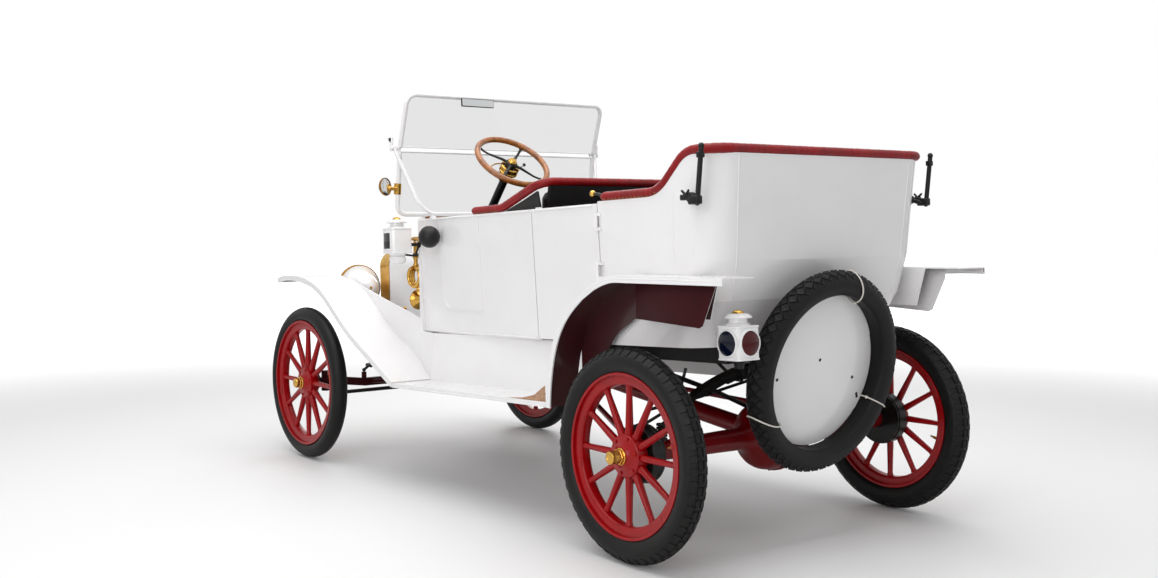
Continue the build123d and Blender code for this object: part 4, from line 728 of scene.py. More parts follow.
def ring_piece(cell: Shape, count: int, at: Matrix, body: str, place: Matrix = FLAT,
               stands_for: Sequence[str] = ()) -> bpy.types.Object:
    """Cell repeated round a frame's z axis, as one piece.

    Args:
        cell: Shape drawn about the origin; its own place is not used.
        count: Number of cells.
        at: Frame of the ring, in millimetres.
        body: CAD body that the piece moves with.
        place: Matrix from the drawing to metres.
        stands_for: CAD nodes that it is shown instead of.

    Returns:
        The piece.
    """
    name, finish = cell.name, cell.finishes[0]
    cell.place = Matrix()
    pattern = cell.raw(name + "_cell")
    made = Repeats.grow(REPEATS.ring, name, [pattern], Cell=pattern, Count=count,
                        Finish=finish.material())
    made.data.transform(place @ at)
    return settle(made, body, stands_for)


def row_piece(cell: Shape, count: int, step: Point, body: str) -> bpy.types.Object:
    """Cell repeated in a straight row, as one piece."""
    name, finish, place = cell.name, cell.finishes[0], cell.place
    cell.place = Matrix()
    pattern = cell.raw(name + "_cell")
    made = Repeats.grow(REPEATS.row, name, [pattern], Cell=pattern, Count=count, Step=Vector(step),
                        Finish=finish.material())
    made.data.transform(place)
    return settle(made, body)


def path_piece(cell: Shape, points: Sequence[Vector], spacing: float, facing: float,
               body: str) -> bpy.types.Object:
    """Cell repeated along a line, facing sideways from it, as one piece.

    Args:
        cell: Shape drawn about the origin, its face along +z.
        points: The line, in the level drawing.
        spacing: Distance between cells.
        facing: 1 or -1, the side that the cells face.
        body: CAD body that the piece moves with.

    Returns:
        The piece.
    """
    name, finish, place = cell.name, cell.finishes[0], cell.place
    cell.place = Matrix()
    pattern = cell.raw(name + "_cell")
    curve = bpy.data.curves.new(name + "_path", "CURVE")
    curve.dimensions = "3D"
    spline = curve.splines.new("POLY")
    spline.points.add(len(points) - 1)
    for target, spot in zip(spline.points, points):
        target.co = (*spot, 1)
    line = bpy.data.objects.new(name + "_path", curve)
    bpy.context.scene.collection.objects.link(line)
    made = Repeats.grow(REPEATS.path, name, [pattern, line], Cell=pattern, Path=line,
                        Spacing=spacing, Facing=facing, Finish=finish.material())
    made.data.transform(place)
    return settle(made, body)


def hex_head(name: str, finish: Finish, radius: float, height: float, offset: float,
             place: Matrix = FLAT) -> Shape:
    """Hexagonal bolt head with its washer, drawn at a distance along x, facing +z."""
    cell = Shape(name, finish, place)
    at = Matrix.Translation(Vector((offset, 0, 0)))
    cell.lathe([(0, 0), (radius * 1.35, 0), (radius * 1.35, height * 0.2), (0, height * 0.2)], at,
               12)
    cell.lathe([(0, 0.1), (radius, 0.1), (radius, height * 0.85), (radius * 0.8, height),
                (0, height)], at, 6)
    return cell


@dataclass
class BodyForm:
    """Half widths of the coach body, as the frame's panels have them."""

    low_z: float = 694.0
    high_z: float = 1420.0

    def half_width(self, y: float, z: float) -> float:
        """Half width of the outer body at one place along it and one height."""
        share = (z - self.low_z) / (self.high_z - self.low_z)
        front, pillar = 451.0 + 25.0 * share, 533.0 + 33.0 * share
        if y <= PILLAR_Y:
            return front + (pillar - front) * (y - BODY_FRONT_Y) / (PILLAR_Y - BODY_FRONT_Y)
        back_y = REAR_AXLE_Y + 276.0 + 50.0 * (z - 1000.0) / 420.0
        rear = 560.0 + 20.0 * (z - 1000.0) / 420.0
        return pillar + (rear - pillar) * (y - PILLAR_Y) / (back_y - PILLAR_Y)


BODY = BodyForm()


@dataclass
class Studio:
    """Camera, pale floor and soft light."""

    place: Point = (3.5714, 4.6530, 1.2165)
    azimuth: float = 142.566
    elevation: float = 1.380
    roll: float = -0.120
    lens: float = 39.67
    shift: Point = (0.0044, -0.0357)
    floor_grey: int = 236

    def build(self) -> None:
        """Makes everything round the car."""
        self._camera()
        self._world()
        self._floor()
        for name, spot, target, size, power in (
            ("overhead", (0.6, 0.4, 5.2), (0, 0, 0.6), 6.0, 225.0),
            ("side_fill", (6.0, 3.4, 3.0), (0, 0, 0.8), 4.5, 120.0),
            ("front_fill", (-4.5, -5.5, 3.4), (0, 0, 0.8), 4.0, 110.0),
        ):
            self._lamp(name, spot, target, size, power)

    def _camera(self) -> None:
        """Camera at the photograph's viewing angle."""
        turn, rise = math.radians(self.azimuth), math.radians(self.elevation)
        back = Vector((math.sin(turn) * math.cos(rise), -math.cos(turn) * math.cos(rise),
                       math.sin(rise)))
        camera = bpy.data.objects.new("camera", bpy.data.cameras.new("camera"))
        camera.data.lens, camera.data.sensor_width = self.lens, 36.0
        camera.data.shift_x, camera.data.shift_y = self.shift
        camera.data.clip_end = 60.0
        aimed = (-back).to_track_quat("-Z", "Y").to_matrix().to_4x4()
        rolled = Matrix.Rotation(math.radians(self.roll), 4, "Z")
        camera.matrix_world = Matrix.Translation(Vector(self.place)) @ aimed @ rolled
        bpy.context.scene.collection.objects.link(camera)
        bpy.context.scene.camera = camera
        bpy.context.scene.view_settings.view_transform = "Standard"

    @staticmethod
    def _world() -> None:
        """White to the camera, glass and metal; a grey sky to everything else."""
        world = bpy.data.worlds.new("studio")
        world.use_nodes = True
        graph = Graph(world.node_tree)
        back = world.node_tree.nodes["Background"]
        ray = graph.add("ShaderNodeLightPath")
        seen = graph.math("MAXIMUM", ray.outputs["Is Camera Ray"],
                          ray.outputs["Is Transmission Ray"])
        shown = graph.math("MAXIMUM", seen, graph.math("MULTIPLY", ray.outputs["Is Glossy Ray"],
                                                       0.8))
        graph.feed(back.inputs["Strength"],
                   graph.math("ADD", 0.46, graph.math("MULTIPLY", shown, 0.54)))
        back.inputs["Color"].default_value = (1, 1, 1, 1)
        bpy.context.scene.world = world

    def _floor(self) -> None:
        """Wide pale floor."""
        data = bpy.data.meshes.new("studio_floor")
        reach = 30.0
        data.from_pydata([(-reach, -reach, 0), (reach, -reach, 0), (reach, reach, 0),
                          (-reach, reach, 0)], [], [(0, 1, 2, 3)])
        floor = bpy.data.objects.new("studio_floor", data)
        bpy.context.scene.collection.objects.link(floor)
        made = bpy.data.materials.new("Studio floor")
        made.use_nodes = True
        graph = Graph(made.node_tree)
        shader = made.node_tree.nodes["Principled BSDF"]
        tone = graph.add("ShaderNodeGroup", node_tree=GROUPS.tone)
        grey = srgb(self.floor_grey, self.floor_grey, self.floor_grey)
        for key, value in {"Colour": (*grey, 1), "Second": (*grey, 1), "Patches": 1.0,
                           "Amount": 0.2, "Dust": 0.0, "Shine": 0.55}.items():
            graph.feed(tone.inputs[key], value)
        graph.feed(shader.inputs["Base Color"], tone.outputs["Colour"])
        shader.inputs["Roughness"].default_value = 0.55
        reach_out = graph.add("ShaderNodeVectorMath",
                              graph.add("ShaderNodeTexCoord").outputs["Object"], operation="LENGTH")
        far = graph.ramp(reach_out.outputs["Value"], 3.6, 9.5)
        seen = graph.add("ShaderNodeLightPath").outputs["Is Camera Ray"]
        shader.inputs["Emission Color"].default_value = (1, 1, 1, 1)
        graph.feed(shader.inputs["Emission Strength"], graph.math("MULTIPLY", far, seen))
        data.materials.append(made)

    @staticmethod
    def _lamp(name: str, spot: Point, target: Point, size: float, power: float) -> None:
        """Large soft area lamp that aims at one point."""
        data = bpy.data.lights.new(name, "AREA")
        data.shape, data.size, data.energy = "DISK", size, power
        lamp = bpy.data.objects.new(name, data)
        aim = (Vector(target) - Vector(spot)).to_track_quat("-Z", "Y").to_matrix().to_4x4()
        lamp.matrix_world = Matrix.Translation(Vector(spot)) @ aim
        bpy.context.scene.collection.objects.link(lamp)


class NodeFinishes:
    """Finishes of the CAD nodes that stay in sight."""

    PLAIN: dict[str, Finish] = {"front_axle": MAROON, "knuckle_left": MAROON,
                                "knuckle_right": MAROON, "tie_rod": BLACK_IRON,
                                "drag_link": BLACK_IRON, "pitman_arm": BLACK_IRON,
                                "rear_axle": AXLE_RED, "chassis_frame": BLACK_IRON,
                                "front_spring": BLACK_IRON, "rear_spring": BLACK_IRON,
                                "engine": CAST_IRON, "radiator": BRASS, "hood_left": WHITE,
                                "hood_right": WHITE, "floor": DARK_WOOD, "windshield_lower": WHITE,
                                "windshield_upper": WHITE, "glass_lower": GLASS,
                                "glass_upper": GLASS, "running_boards": WHITE,
                                "top_irons": BLACK_IRON, "spare_carrier": WHITE,}

    @staticmethod
    def dress(node: str, material: bpy.types.Material) -> None:
        """Gives one CAD node a material."""
        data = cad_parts[node].data
        data.materials.clear()
        data.materials.append(material)

    def build(self) -> None:
        """Dresses every node, also those that a piece stands for."""
        lined = self._lined("Painted panel", WHITE, BLACK_LEATHER, 0.0)
        fender = self._lined("Fender sheet", WHITE, MAROON, 1.0)
        two_sided = {"front_body": lined, "tub": lined, "door_front_right": lined,
                     "door_rear_left": lined, "door_rear_right": lined, "rear_fenders": fender,
                     "front_fenders": fender, "dash": self._dash(), "rear_axle": self._axle()}
        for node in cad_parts:
            if node in two_sided:
                self.dress(node, two_sided[node])
            else:
                self.dress(node, self.PLAIN.get(node, BRASS).material())

    @staticmethod
    def _lined(name: str, outside: Finish, inside: Finish, fender: float) -> bpy.types.Material:
        """Panel with one finish outside and another on the faces turned inward.

        Args:
            name: Name of the material.
            outside: Finish of the outer faces.
            inside: Finish of the inner faces.
            fender: 1 for sheet that arches over a wheel, 0 for the coach body.

        Returns:
            The material.
        """
        made = bpy.data.materials.new(name)
        made.use_nodes = True
        graph = Graph(made.node_tree)
        shader = made.node_tree.nodes["Principled BSDF"]
        coordinates = graph.add("ShaderNodeTexCoord")
        spot = graph.add("ShaderNodeSeparateXYZ", coordinates.outputs["Object"])
        turned = graph.add("ShaderNodeSeparateXYZ", coordinates.outputs["Normal"])
        outward = graph.math("MULTIPLY", graph.math("SIGN", spot.outputs["X"]), turned.outputs["X"])
        if fender:
            near = graph.math("LESS_THAN", graph.math("ABSOLUTE", spot.outputs["X"]), 0.64)
            lip = graph.math("LESS_THAN", outward, -0.5)
            rear = graph.math("GREATER_THAN", spot.outputs["Y"], 0.0)
            panel = graph.math("MULTIPLY", graph.math("MULTIPLY", near, rear),
                               graph.math("GREATER_THAN", outward, 0.5))
            sides = graph.math("ADD", graph.math("MULTIPLY", lip,
                                                 graph.math("SUBTRACT", 1.0, near)), panel)
            centre = graph.math("ADD", graph.math("MULTIPLY", rear, 2.5), -1.2)
            along = graph.math("MULTIPLY", graph.math("SUBTRACT", spot.outputs["Y"], centre),
                               turned.outputs["Y"])
            above = graph.math("MULTIPLY", graph.math("SUBTRACT", spot.outputs["Z"], 0.4),
                               turned.outputs["Z"])
            under = graph.math("LESS_THAN", graph.math("ADD", along, above), -0.06)
            mask = graph.math("MAXIMUM", sides, under)
        else:
            sides = graph.math("LESS_THAN", outward, -0.35)
            behind = graph.math("MULTIPLY", graph.math("GREATER_THAN", spot.outputs["Y"], 1.2),
                                graph.math("LESS_THAN", turned.outputs["Y"], -0.4))
            narrow = graph.math("LESS_THAN", graph.math("ABSOLUTE", spot.outputs["X"]), 0.486)
            seat = graph.math("COMPARE", spot.outputs["Y"], 0.385, 0.1)
            board = graph.math("MULTIPLY", graph.math("MULTIPLY", narrow, seat),
                               graph.math("GREATER_THAN", spot.outputs["Z"], 0.74))
            mask = graph.math("MAXIMUM", graph.math("MAXIMUM", sides, behind), board)
        outer_colour, outer_rough = outside.surface(graph)
        inner_colour, inner_rough = inside.surface(graph)
        graph.feed(shader.inputs["Base Color"], graph.mix(mask, outer_colour, inner_colour))
        rough = graph.add("ShaderNodeMapRange", mask, 0.0, 1.0, outer_rough, inner_rough)
        graph.feed(shader.inputs["Roughness"], rough.outputs[0])
        graph.feed(shader.inputs["Normal"], outside.bump(graph))
        outside.set_plain(shader)
        return made

    @staticmethod
    def _axle() -> bpy.types.Material:
        """Red axle with black backing plates at its ends."""
        made = bpy.data.materials.new("Axle housing")
        made.use_nodes = True
        graph = Graph(made.node_tree)
        shader = made.node_tree.nodes["Principled BSDF"]
        spot = graph.add("ShaderNodeSeparateXYZ", graph.add("ShaderNodeTexCoord").outputs["Object"])
        mask = graph.math("GREATER_THAN", graph.math("ABSOLUTE", spot.outputs["X"]), 0.615)
        red_colour, red_rough = AXLE_RED.surface(graph)
        black_colour, black_rough = BLACK_IRON.surface(graph)
        graph.feed(shader.inputs["Base Color"], graph.mix(mask, red_colour, black_colour))
        rough = graph.add("ShaderNodeMapRange", mask, 0.0, 1.0, red_rough, black_rough)
        graph.feed(shader.inputs["Roughness"], rough.outputs[0])
        graph.feed(shader.inputs["Normal"], AXLE_RED.bump(graph))
        AXLE_RED.set_plain(shader)
        return made

    @staticmethod
    def _dash() -> bpy.types.Material:
        """Dash with wood towards the seats and paint on its front and edges."""
        made = bpy.data.materials.new("Dash board")
        made.use_nodes = True
        graph = Graph(made.node_tree)
        shader = made.node_tree.nodes["Principled BSDF"]
        turned = graph.add("ShaderNodeSeparateXYZ",
                           graph.add("ShaderNodeTexCoord").outputs["Normal"])
        spot = graph.add("ShaderNodeSeparateXYZ", graph.add("ShaderNodeTexCoord").outputs["Object"])
        outside = graph.math("GREATER_THAN", graph.math("ABSOLUTE", spot.outputs["X"]), 0.44)
        mask = graph.math("MAXIMUM", outside, graph.math("LESS_THAN", turned.outputs["Y"], 0.5))
        wood_colour, wood_rough = WOOD.surface(graph)
        paint_colour, paint_rough = WHITE.surface(graph)
        graph.feed(shader.inputs["Base Color"], graph.mix(mask, wood_colour, paint_colour))
        rough = graph.add("ShaderNodeMapRange", mask, 0.0, 1.0, wood_rough, paint_rough)
        graph.feed(shader.inputs["Roughness"], rough.outputs[0])
        graph.feed(shader.inputs["Normal"], WOOD.bump(graph))
        WOOD.set_plain(shader)
        return made


def smooth_line(points: Sequence[Point], start: Point, end: Point,
                pitch: float = 22.0) -> list[Vector]:
    """Smooth line through points in side view, with its direction given at both ends.

    Args:
        points: Places as (distance along the car, height).
        start: Direction at the first point.
        end: Direction at the last point.
        pitch: Distance between the points that come back.

    Returns:
        Points along the line, as (distance along the car, height).
    """
    spots = [Vector(p) for p in points]
    gaps = [(b - a).length for a, b in zip(spots, spots[1:])]
    slopes = [Vector(start).normalized()]
    slopes += [(c - a) / (g + h) for a, c, g, h in zip(spots, spots[2:], gaps, gaps[1:])]
    slopes.append(Vector(end).normalized())
    for _ in range(60):
        for i in range(1, len(spots) - 1):
            before, after = gaps[i - 1], gaps[i]
            rise = 3 * ((spots[i] - spots[i - 1]) / before**2 + (spots[i + 1] - spots[i])
                        / after**2)
            slopes[i] = (rise - slopes[i - 1] / before - slopes[i + 1]
                         / after) / (2 / before + 2 / after)
    line = [spots[0]]
    for i, gap in enumerate(gaps):
        count = max(2, round(gap / pitch))
        for step in range(1, count + 1):
            t = step / count
            first, last = spots[i] * (2 * t**3 - 3 * t**2 + 1), spots[i + 1] * (3 * t**2 - 2 * t**3)
            bends = slopes[i] * (t**3 - 2 * t**2 + t) + slopes[i + 1] * (t**3 - t**2)
            line.append(first + last + bends * gap)
    return line


@dataclass
class RoadWheel:
    """Wooden artillery wheel with its tyre."""

    side: int
    y: float
    tyre_height: float
    tyre_half_width: float
    cap_reach: float
    name: str
    body: str
    driven: bool = False
    spokes: int = 12
    rim_half_width: float = 33.0
    rim_thickness: float = 9.0
    felloe_depth: float = 34.0
    felloe_half_width: float = 23.0
    flange_radius: float = 76.0
    drum_radius: float = 104.0

    def build(self) -> None:
        """Makes the rim, spokes, hub, drum and tyre."""
        self.at = axes_at((self.side * HALF_TRACK, self.y, WHEEL_RADIUS), (self.side, 0, 0),
                          (0, 1, 0))
        self.rim_radius = WHEEL_RADIUS - self.tyre_height
        self.felloe_inner = self.rim_radius - self.rim_thickness - self.felloe_depth
        self._rim()
        self._spokes()
        self._hub()
        if self.driven:
            self._drum()
        TyreForm(self.at, self.tyre_height, self.tyre_half_width, FLAT, "tyre_" + self.name,
                 self.body).build(Tread.BLOCKS if self.driven else Tread.SMOOTH)

    def _rim(self) -> None:
        """Steel rim with rolled edges over a rounded wooden felloe."""
        rim, low = self.rim_radius, self.rim_radius - self.rim_thickness
        wide, half, inner = self.rim_half_width, self.felloe_half_width, self.felloe_inner
        shape = Shape("rim_" + self.name, RED, FLAT)
        shape.lathe([(low, -wide), (low, wide), (low + 2, wide + 1), (rim + 1, wide + 1),
                     (rim + 2, wide - 2), (rim - 1, wide - 6), (rim - 4, 0), (rim - 1, 6 - wide),
                     (rim + 2, 2 - wide), (rim + 1, -wide - 1), (low + 2, -wide - 1)], self.at, 96,
                    loop=True)
        shape.lathe([(low, -half), (low, half), (inner + 9, half), (inner + 3, half - 3),
                     (inner, half - 9), (inner, 9 - half), (inner + 3, 3 - half),
                     (inner + 9, -half)], self.at, 96, loop=True)
        joint = self.felloe_inner + self.felloe_depth / 2
        for turn in (0.5, 6.5):
            angle = math.tau * turn / self.spokes
            spot = Matrix.Rotation(angle, 4, "Z") @ Vector((joint, 0, half))
            shape.prism([(-13, -9), (13, -9), (13, 9), (-13, 9)],
                        self.at @ Matrix.Translation(spot) @ Matrix.Rotation(angle, 4, "Z"), 2, 0.6)
        shape.use(OLD_BRASS)
        valve = Matrix.Rotation(math.tau * 0.5 / self.spokes, 4,
                                "Z") @ Matrix.Translation((inner - 14, 0, 0))
        turned = self.at @ valve @ Matrix.Rotation(math.pi / 2, 4, "Y")
        shape.lathe([(0, -22), (4, -22), (4, -8), (6, -8), (6, 4), (4, 6), (4, 16), (0, 16)],
                    turned, 12)
        shape.piece(self.body, ["wheel_" + self.name])

    def _spokes(self) -> None:
        """Oval spokes that swell into a wedge at the hub and a collar at the felloe."""
        cell = Shape("spokes_" + self.name, RED)
        foot, tip = self.flange_radius - 8, self.felloe_inner + 2
        span = tip - foot
        stations = ((0.0, 16.0, 17.0), (0.06, 16.0, 16.5), (0.14, 13.0, 15.5), (0.32, 12.4, 15.0),
                    (0.7, 11.0, 12.5), (0.93, 10.6, 11.5), (0.95, 12.8, 13.6), (1.0, 13.2, 14.0))
        rings = []
        for share, across, deep in stations:
            turns = [math.tau * k / 16 for k in range(16)]
            rings.append([(foot + span * share, across * math.cos(a), deep * math.sin(a))
                          for a in turns])
        cell.loft(rings)
        ring_piece(cell, self.spokes, self.at, self.body)

    def _hub(self) -> None:
        """Flanges, bolts, barrel and the stepped brass cap."""
        flange, cap = self.flange_radius, self.cap_reach
        shape = Shape("hub_" + self.name, RED, FLAT)
        shape.lathe([(0, -24), (flange - 3, -24), (flange, -21), (flange, 21), (flange - 3, 24),
                     (57, 25.5), (48, 30), (40, 33), (33, 40), (0, 40)], self.at, 64)
        shape.use(BLACK_IRON)
        shape.lathe([(17.5, -52), (37, -52), (37, -25), (17.5, -25)], self.at, 32, loop=True)
        shape.use(BRASS)
        shape.lathe([(0, 38), (31, 38), (31, 45), (29, 47), (0, 47)], self.at, 40)
        shape.lathe([(0, 46), (29.5, 46), (29.5, 54), (27.5, 56), (0, 56)], self.at, 6)
        shape.lathe([(0, 54), (24, 54), (24, cap - 9), (22.5, cap - 4), (18, cap - 1),
                     (11, cap - 0.3), (9, cap - 2), (0, cap - 2)], self.at, 40)
        shape.piece(self.body)
        bolts = hex_head("hub_bolts_" + self.name, RED, 7.0, 7.0, 64.0)
        ring_piece(bolts, 6, self.at @ Matrix.Translation((0, 0, 23))
                   @ Matrix.Rotation(math.tau / 24, 4, "Z"), self.body)

    def _drum(self) -> None:
        """Brake drum with a cooling lip, on the inboard side."""
        radius = self.drum_radius
        shape = Shape("drum_" + self.name, BLACK_IRON, FLAT)
        shape.lathe([(35, -24), (radius - 2, -24), (radius, -26), (radius, -64),
                     (radius + 2.5, -66), (radius + 2.5, -70), (radius - 6, -70),
                     (radius - 6, -30), (35, -30)], self.at, 64, loop=True)
        shape.piece(self.body)


class Tread(Enum):
    """Surface of a tyre where it meets the road."""

    SMOOTH = "smooth"
    BLOCKS = "blocks"
    DIAMONDS = "diamonds"


@dataclass
class TyreForm:
    """Rubber tyre with beads, sidewall rings and a tread."""

    at: Matrix
    height: float
    half_width: float
    place: Matrix
    name: str
    body: str
    block_count: int = 54
    tread_depth: float = 4.0

    def build(self, tread: Tread) -> None:
        """Makes the tyre and its tread."""
        oval = 0.57 * self.height
        middle, seat = WHEEL_RADIUS - oval, WHEEL_RADIUS - self.height
        sink = 0.0 if tread is Tread.SMOOTH else self.tread_depth
        low = math.acos(max(-1.0, (seat - middle) / oval))
        count = 44
        profile = []
        for k in range(count + 1):
            angle = -low + 2 * low * k / count
            raised = math.exp(-((abs(angle) - 0.62 * low)
                                / 0.03) ** 2) * 1.4 + math.exp(-((abs(angle) - 0.86 * low)
                                                                 / 0.04) ** 2) * 1.8
            taken = sink * max(0.0, min(1.0, (1.15 - abs(angle)) / 0.25)) + 1.4 - raised
            radius = middle + (oval - taken) * math.cos(angle)
            profile.append((radius, (self.half_width - taken * 0.8) * math.sin(angle)))
        shape = Shape(self.name, TYRE, self.place)
        shape.lathe([*profile, (seat, profile[-1][1] * 0.8), (seat, profile[0][1] * 0.8)], self.at,
                    128, loop=True)
        shape.piece(self.body, [self.name], smooth=50)
        if tread is Tread.BLOCKS:
            self._blocks(middle, oval)
        if tread is Tread.DIAMONDS:
            self._diamonds(middle, oval)

    def _pad(self, cell: Shape, outline: Sequence[Point], middle: float, oval: float) -> None:
        """One raised pad of tread that follows the tyre's round section.

        Args:
            cell: Shape that repeats round the tyre.
            outline: Corners as (angle across the section, distance round the tyre).
            middle: Radius of the section's centre.
            oval: Half height of the section.
        """
        rings = []
        for sink, grow in ((self.tread_depth + 1.5, 1.08), (0.4, 0.92)):
            ring = []
            centre_angle = sum(p[0] for p in outline) / len(outline)
            centre_run = sum(p[1] for p in outline) / len(outline)
            for angle, run in outline:
                angle = centre_angle + (angle - centre_angle) * grow
                run = centre_run + (run - centre_run) * grow
                radius = middle + (oval - sink) * math.cos(angle)
                turn = run / WHEEL_RADIUS
                ring.append((radius * math.cos(turn), radius * math.sin(turn),
                             (self.half_width - sink * 0.8) * math.sin(angle)))
            rings.append(ring)
        cell.loft(rings)

    def _blocks(self, middle: float, oval: float) -> None:
        """Centre blocks with bars down both shoulders."""
        pitch = math.tau * WHEEL_RADIUS / self.block_count
        cell = Shape(self.name + "_tread", TYRE)
        for sign in (1, -1):
            self._pad(cell, [(sign * a, r * pitch) for a,
                             r in ((0.50, -0.30), (1.06, -0.26), (1.06, 0.26), (0.50, 0.30))],
                      middle, oval)
            self._pad(cell, [(sign * a, (r + 0.5) * pitch) for a,
                             r in ((0.05, -0.34), (0.42, -0.34), (0.42, 0.34), (0.05, 0.34))],
                      middle, oval)
        ring_piece(cell, self.block_count, self.at, self.body, self.place)

    def _diamonds(self, middle: float, oval: float) -> None:
        """Staggered diamonds over the crown."""
        pitch = math.tau * WHEEL_RADIUS / self.block_count
        cell = Shape(self.name + "_tread", TYRE)
        for row, angle in enumerate((-0.9, -0.45, 0.0, 0.45, 0.9)):
            shift = (row % 2) * 0.5
            corners = ((angle - 0.36, shift), (angle, shift - 0.42), (angle + 0.36, shift),
                       (angle, shift + 0.42))
            self._pad(cell, [(a, r * pitch) for a, r in corners], middle, oval)
        ring_piece(cell, self.block_count, self.at, self.body, self.place)


@dataclass
class OilLamp:
    """Square oil lamp with cut corners: glazed box, chimney and font."""

    spot: Point
    name: str
    body: str
    panes: dict[str, tuple[Finish, float]]
    stands_for: tuple[str, ...] = ()
    font: bool = True
    box: float = 108.0
    height: float = 118.0
    cut: float = 11.0

    def build(self, extra: Shape | None = None) -> None:
        """Makes the lamp; its bracket comes first in extra."""
        x, y, z = self.spot
        half, tall = self.box / 2, self.height / 2
        shape = extra or Shape(self.name, WHITE)
        shape.use(WHITE)
        inner, edge = half - self.cut, half - 2
        outline = [(inner, -edge), (edge, -inner), (edge, inner), (inner, edge), (-inner, edge),
                   (-edge, inner), (-edge, -inner), (-inner, -edge)]
        self._slab(shape, outline, z - tall + 4, z + tall - 4, 1.0)
        for low, high, grow in ((z - tall, z - tall + 7, 1.04), (z + tall - 7, z + tall, 1.04)):
            self._slab(shape, [(a * grow, b * grow) for a, b in outline], low, high, 1.5)
        above = Matrix.Translation((x, y, z + tall))
        shape.lathe([(0, 0), (44, 0), (40, 7), (33, 9), (32, 24), (49, 25), (49.5, 28), (38, 38),
                     (30, 41), (0, 41)], above, 40)
        below = Matrix.Translation((x, y, z - tall))
        if self.font:
            shape.lathe([(0, 0), (42, 0), (38, -8), (31, -13), (38, -18), (39.5, -24), (38.5, -38),
                         (32, -46), (22, -50), (0, -50)], below, 40)
        else:
            shape.use(BLACK_IRON)
            shape.lathe([(0, 0), (38, 0), (38, -5), (20, -9), (16, -30), (0, -32)], below, 32)
        shape.use(BRASS)
        shape.lathe([(0, 40), (22, 40), (20, 46), (15, 50), (8, 52), (6, 53), (0, 54)], above, 24)
        for face, (pane, radius) in self.panes.items():
            self._pane(shape, face, pane, radius)
        shape.piece(self.body, self.stands_for)

    def _slab(self, shape: Shape, outline: Sequence[Point], low: float, high: float,
              bevel: float) -> None:
        """Eight-sided layer of the lamp's box."""
        shape.prism(outline, Matrix.Translation((self.spot[0], self.spot[1], low)), high - low,
                    bevel)

    def _pane(self, shape: Shape, face: str, pane: Finish, radius: float) -> None:
        """Round lens in its ring, or a framed upright pane, on one face.

        Args:
            shape: The lamp.
            face: Direction such as "+y".
            pane: Finish of the glass.
            radius: Radius of the lens, or 0 for the upright pane.
        """
        sign = 1 if face[0] == "+" else -1
        along = (sign, 0, 0) if face[1] == "x" else (0, sign, 0)
        start = Vector(self.spot) + Vector(along) * (self.box / 2 - 2.5)
        at = axes_at(start, along, (0, 0, 1))
        shape.use(WHITE)
        if radius:
            shape.lathe([(radius - 1, 0), (radius + 5, 0), (radius + 5, 3), (radius + 3, 7),
                         (radius, 7.5), (radius - 1, 5)], at, 48, loop=True)
            shape.use(pane)
            shape.lathe([(0, 0), (radius, 0), (radius, 4), (radius * 0.72, 8),
                         (radius * 0.36, 10.5), (0, 11)], at, 44)
        else:
            frame_line = [(-44, -35), (44, -35), (44, 35), (-44, 35)]
            shape.prism(frame_line, at, 4.5, 1.4)
            shape.use(pane)
            shape.prism([(a * 0.84, b * 0.8) for a, b in frame_line], at, 5.4, 0.6)


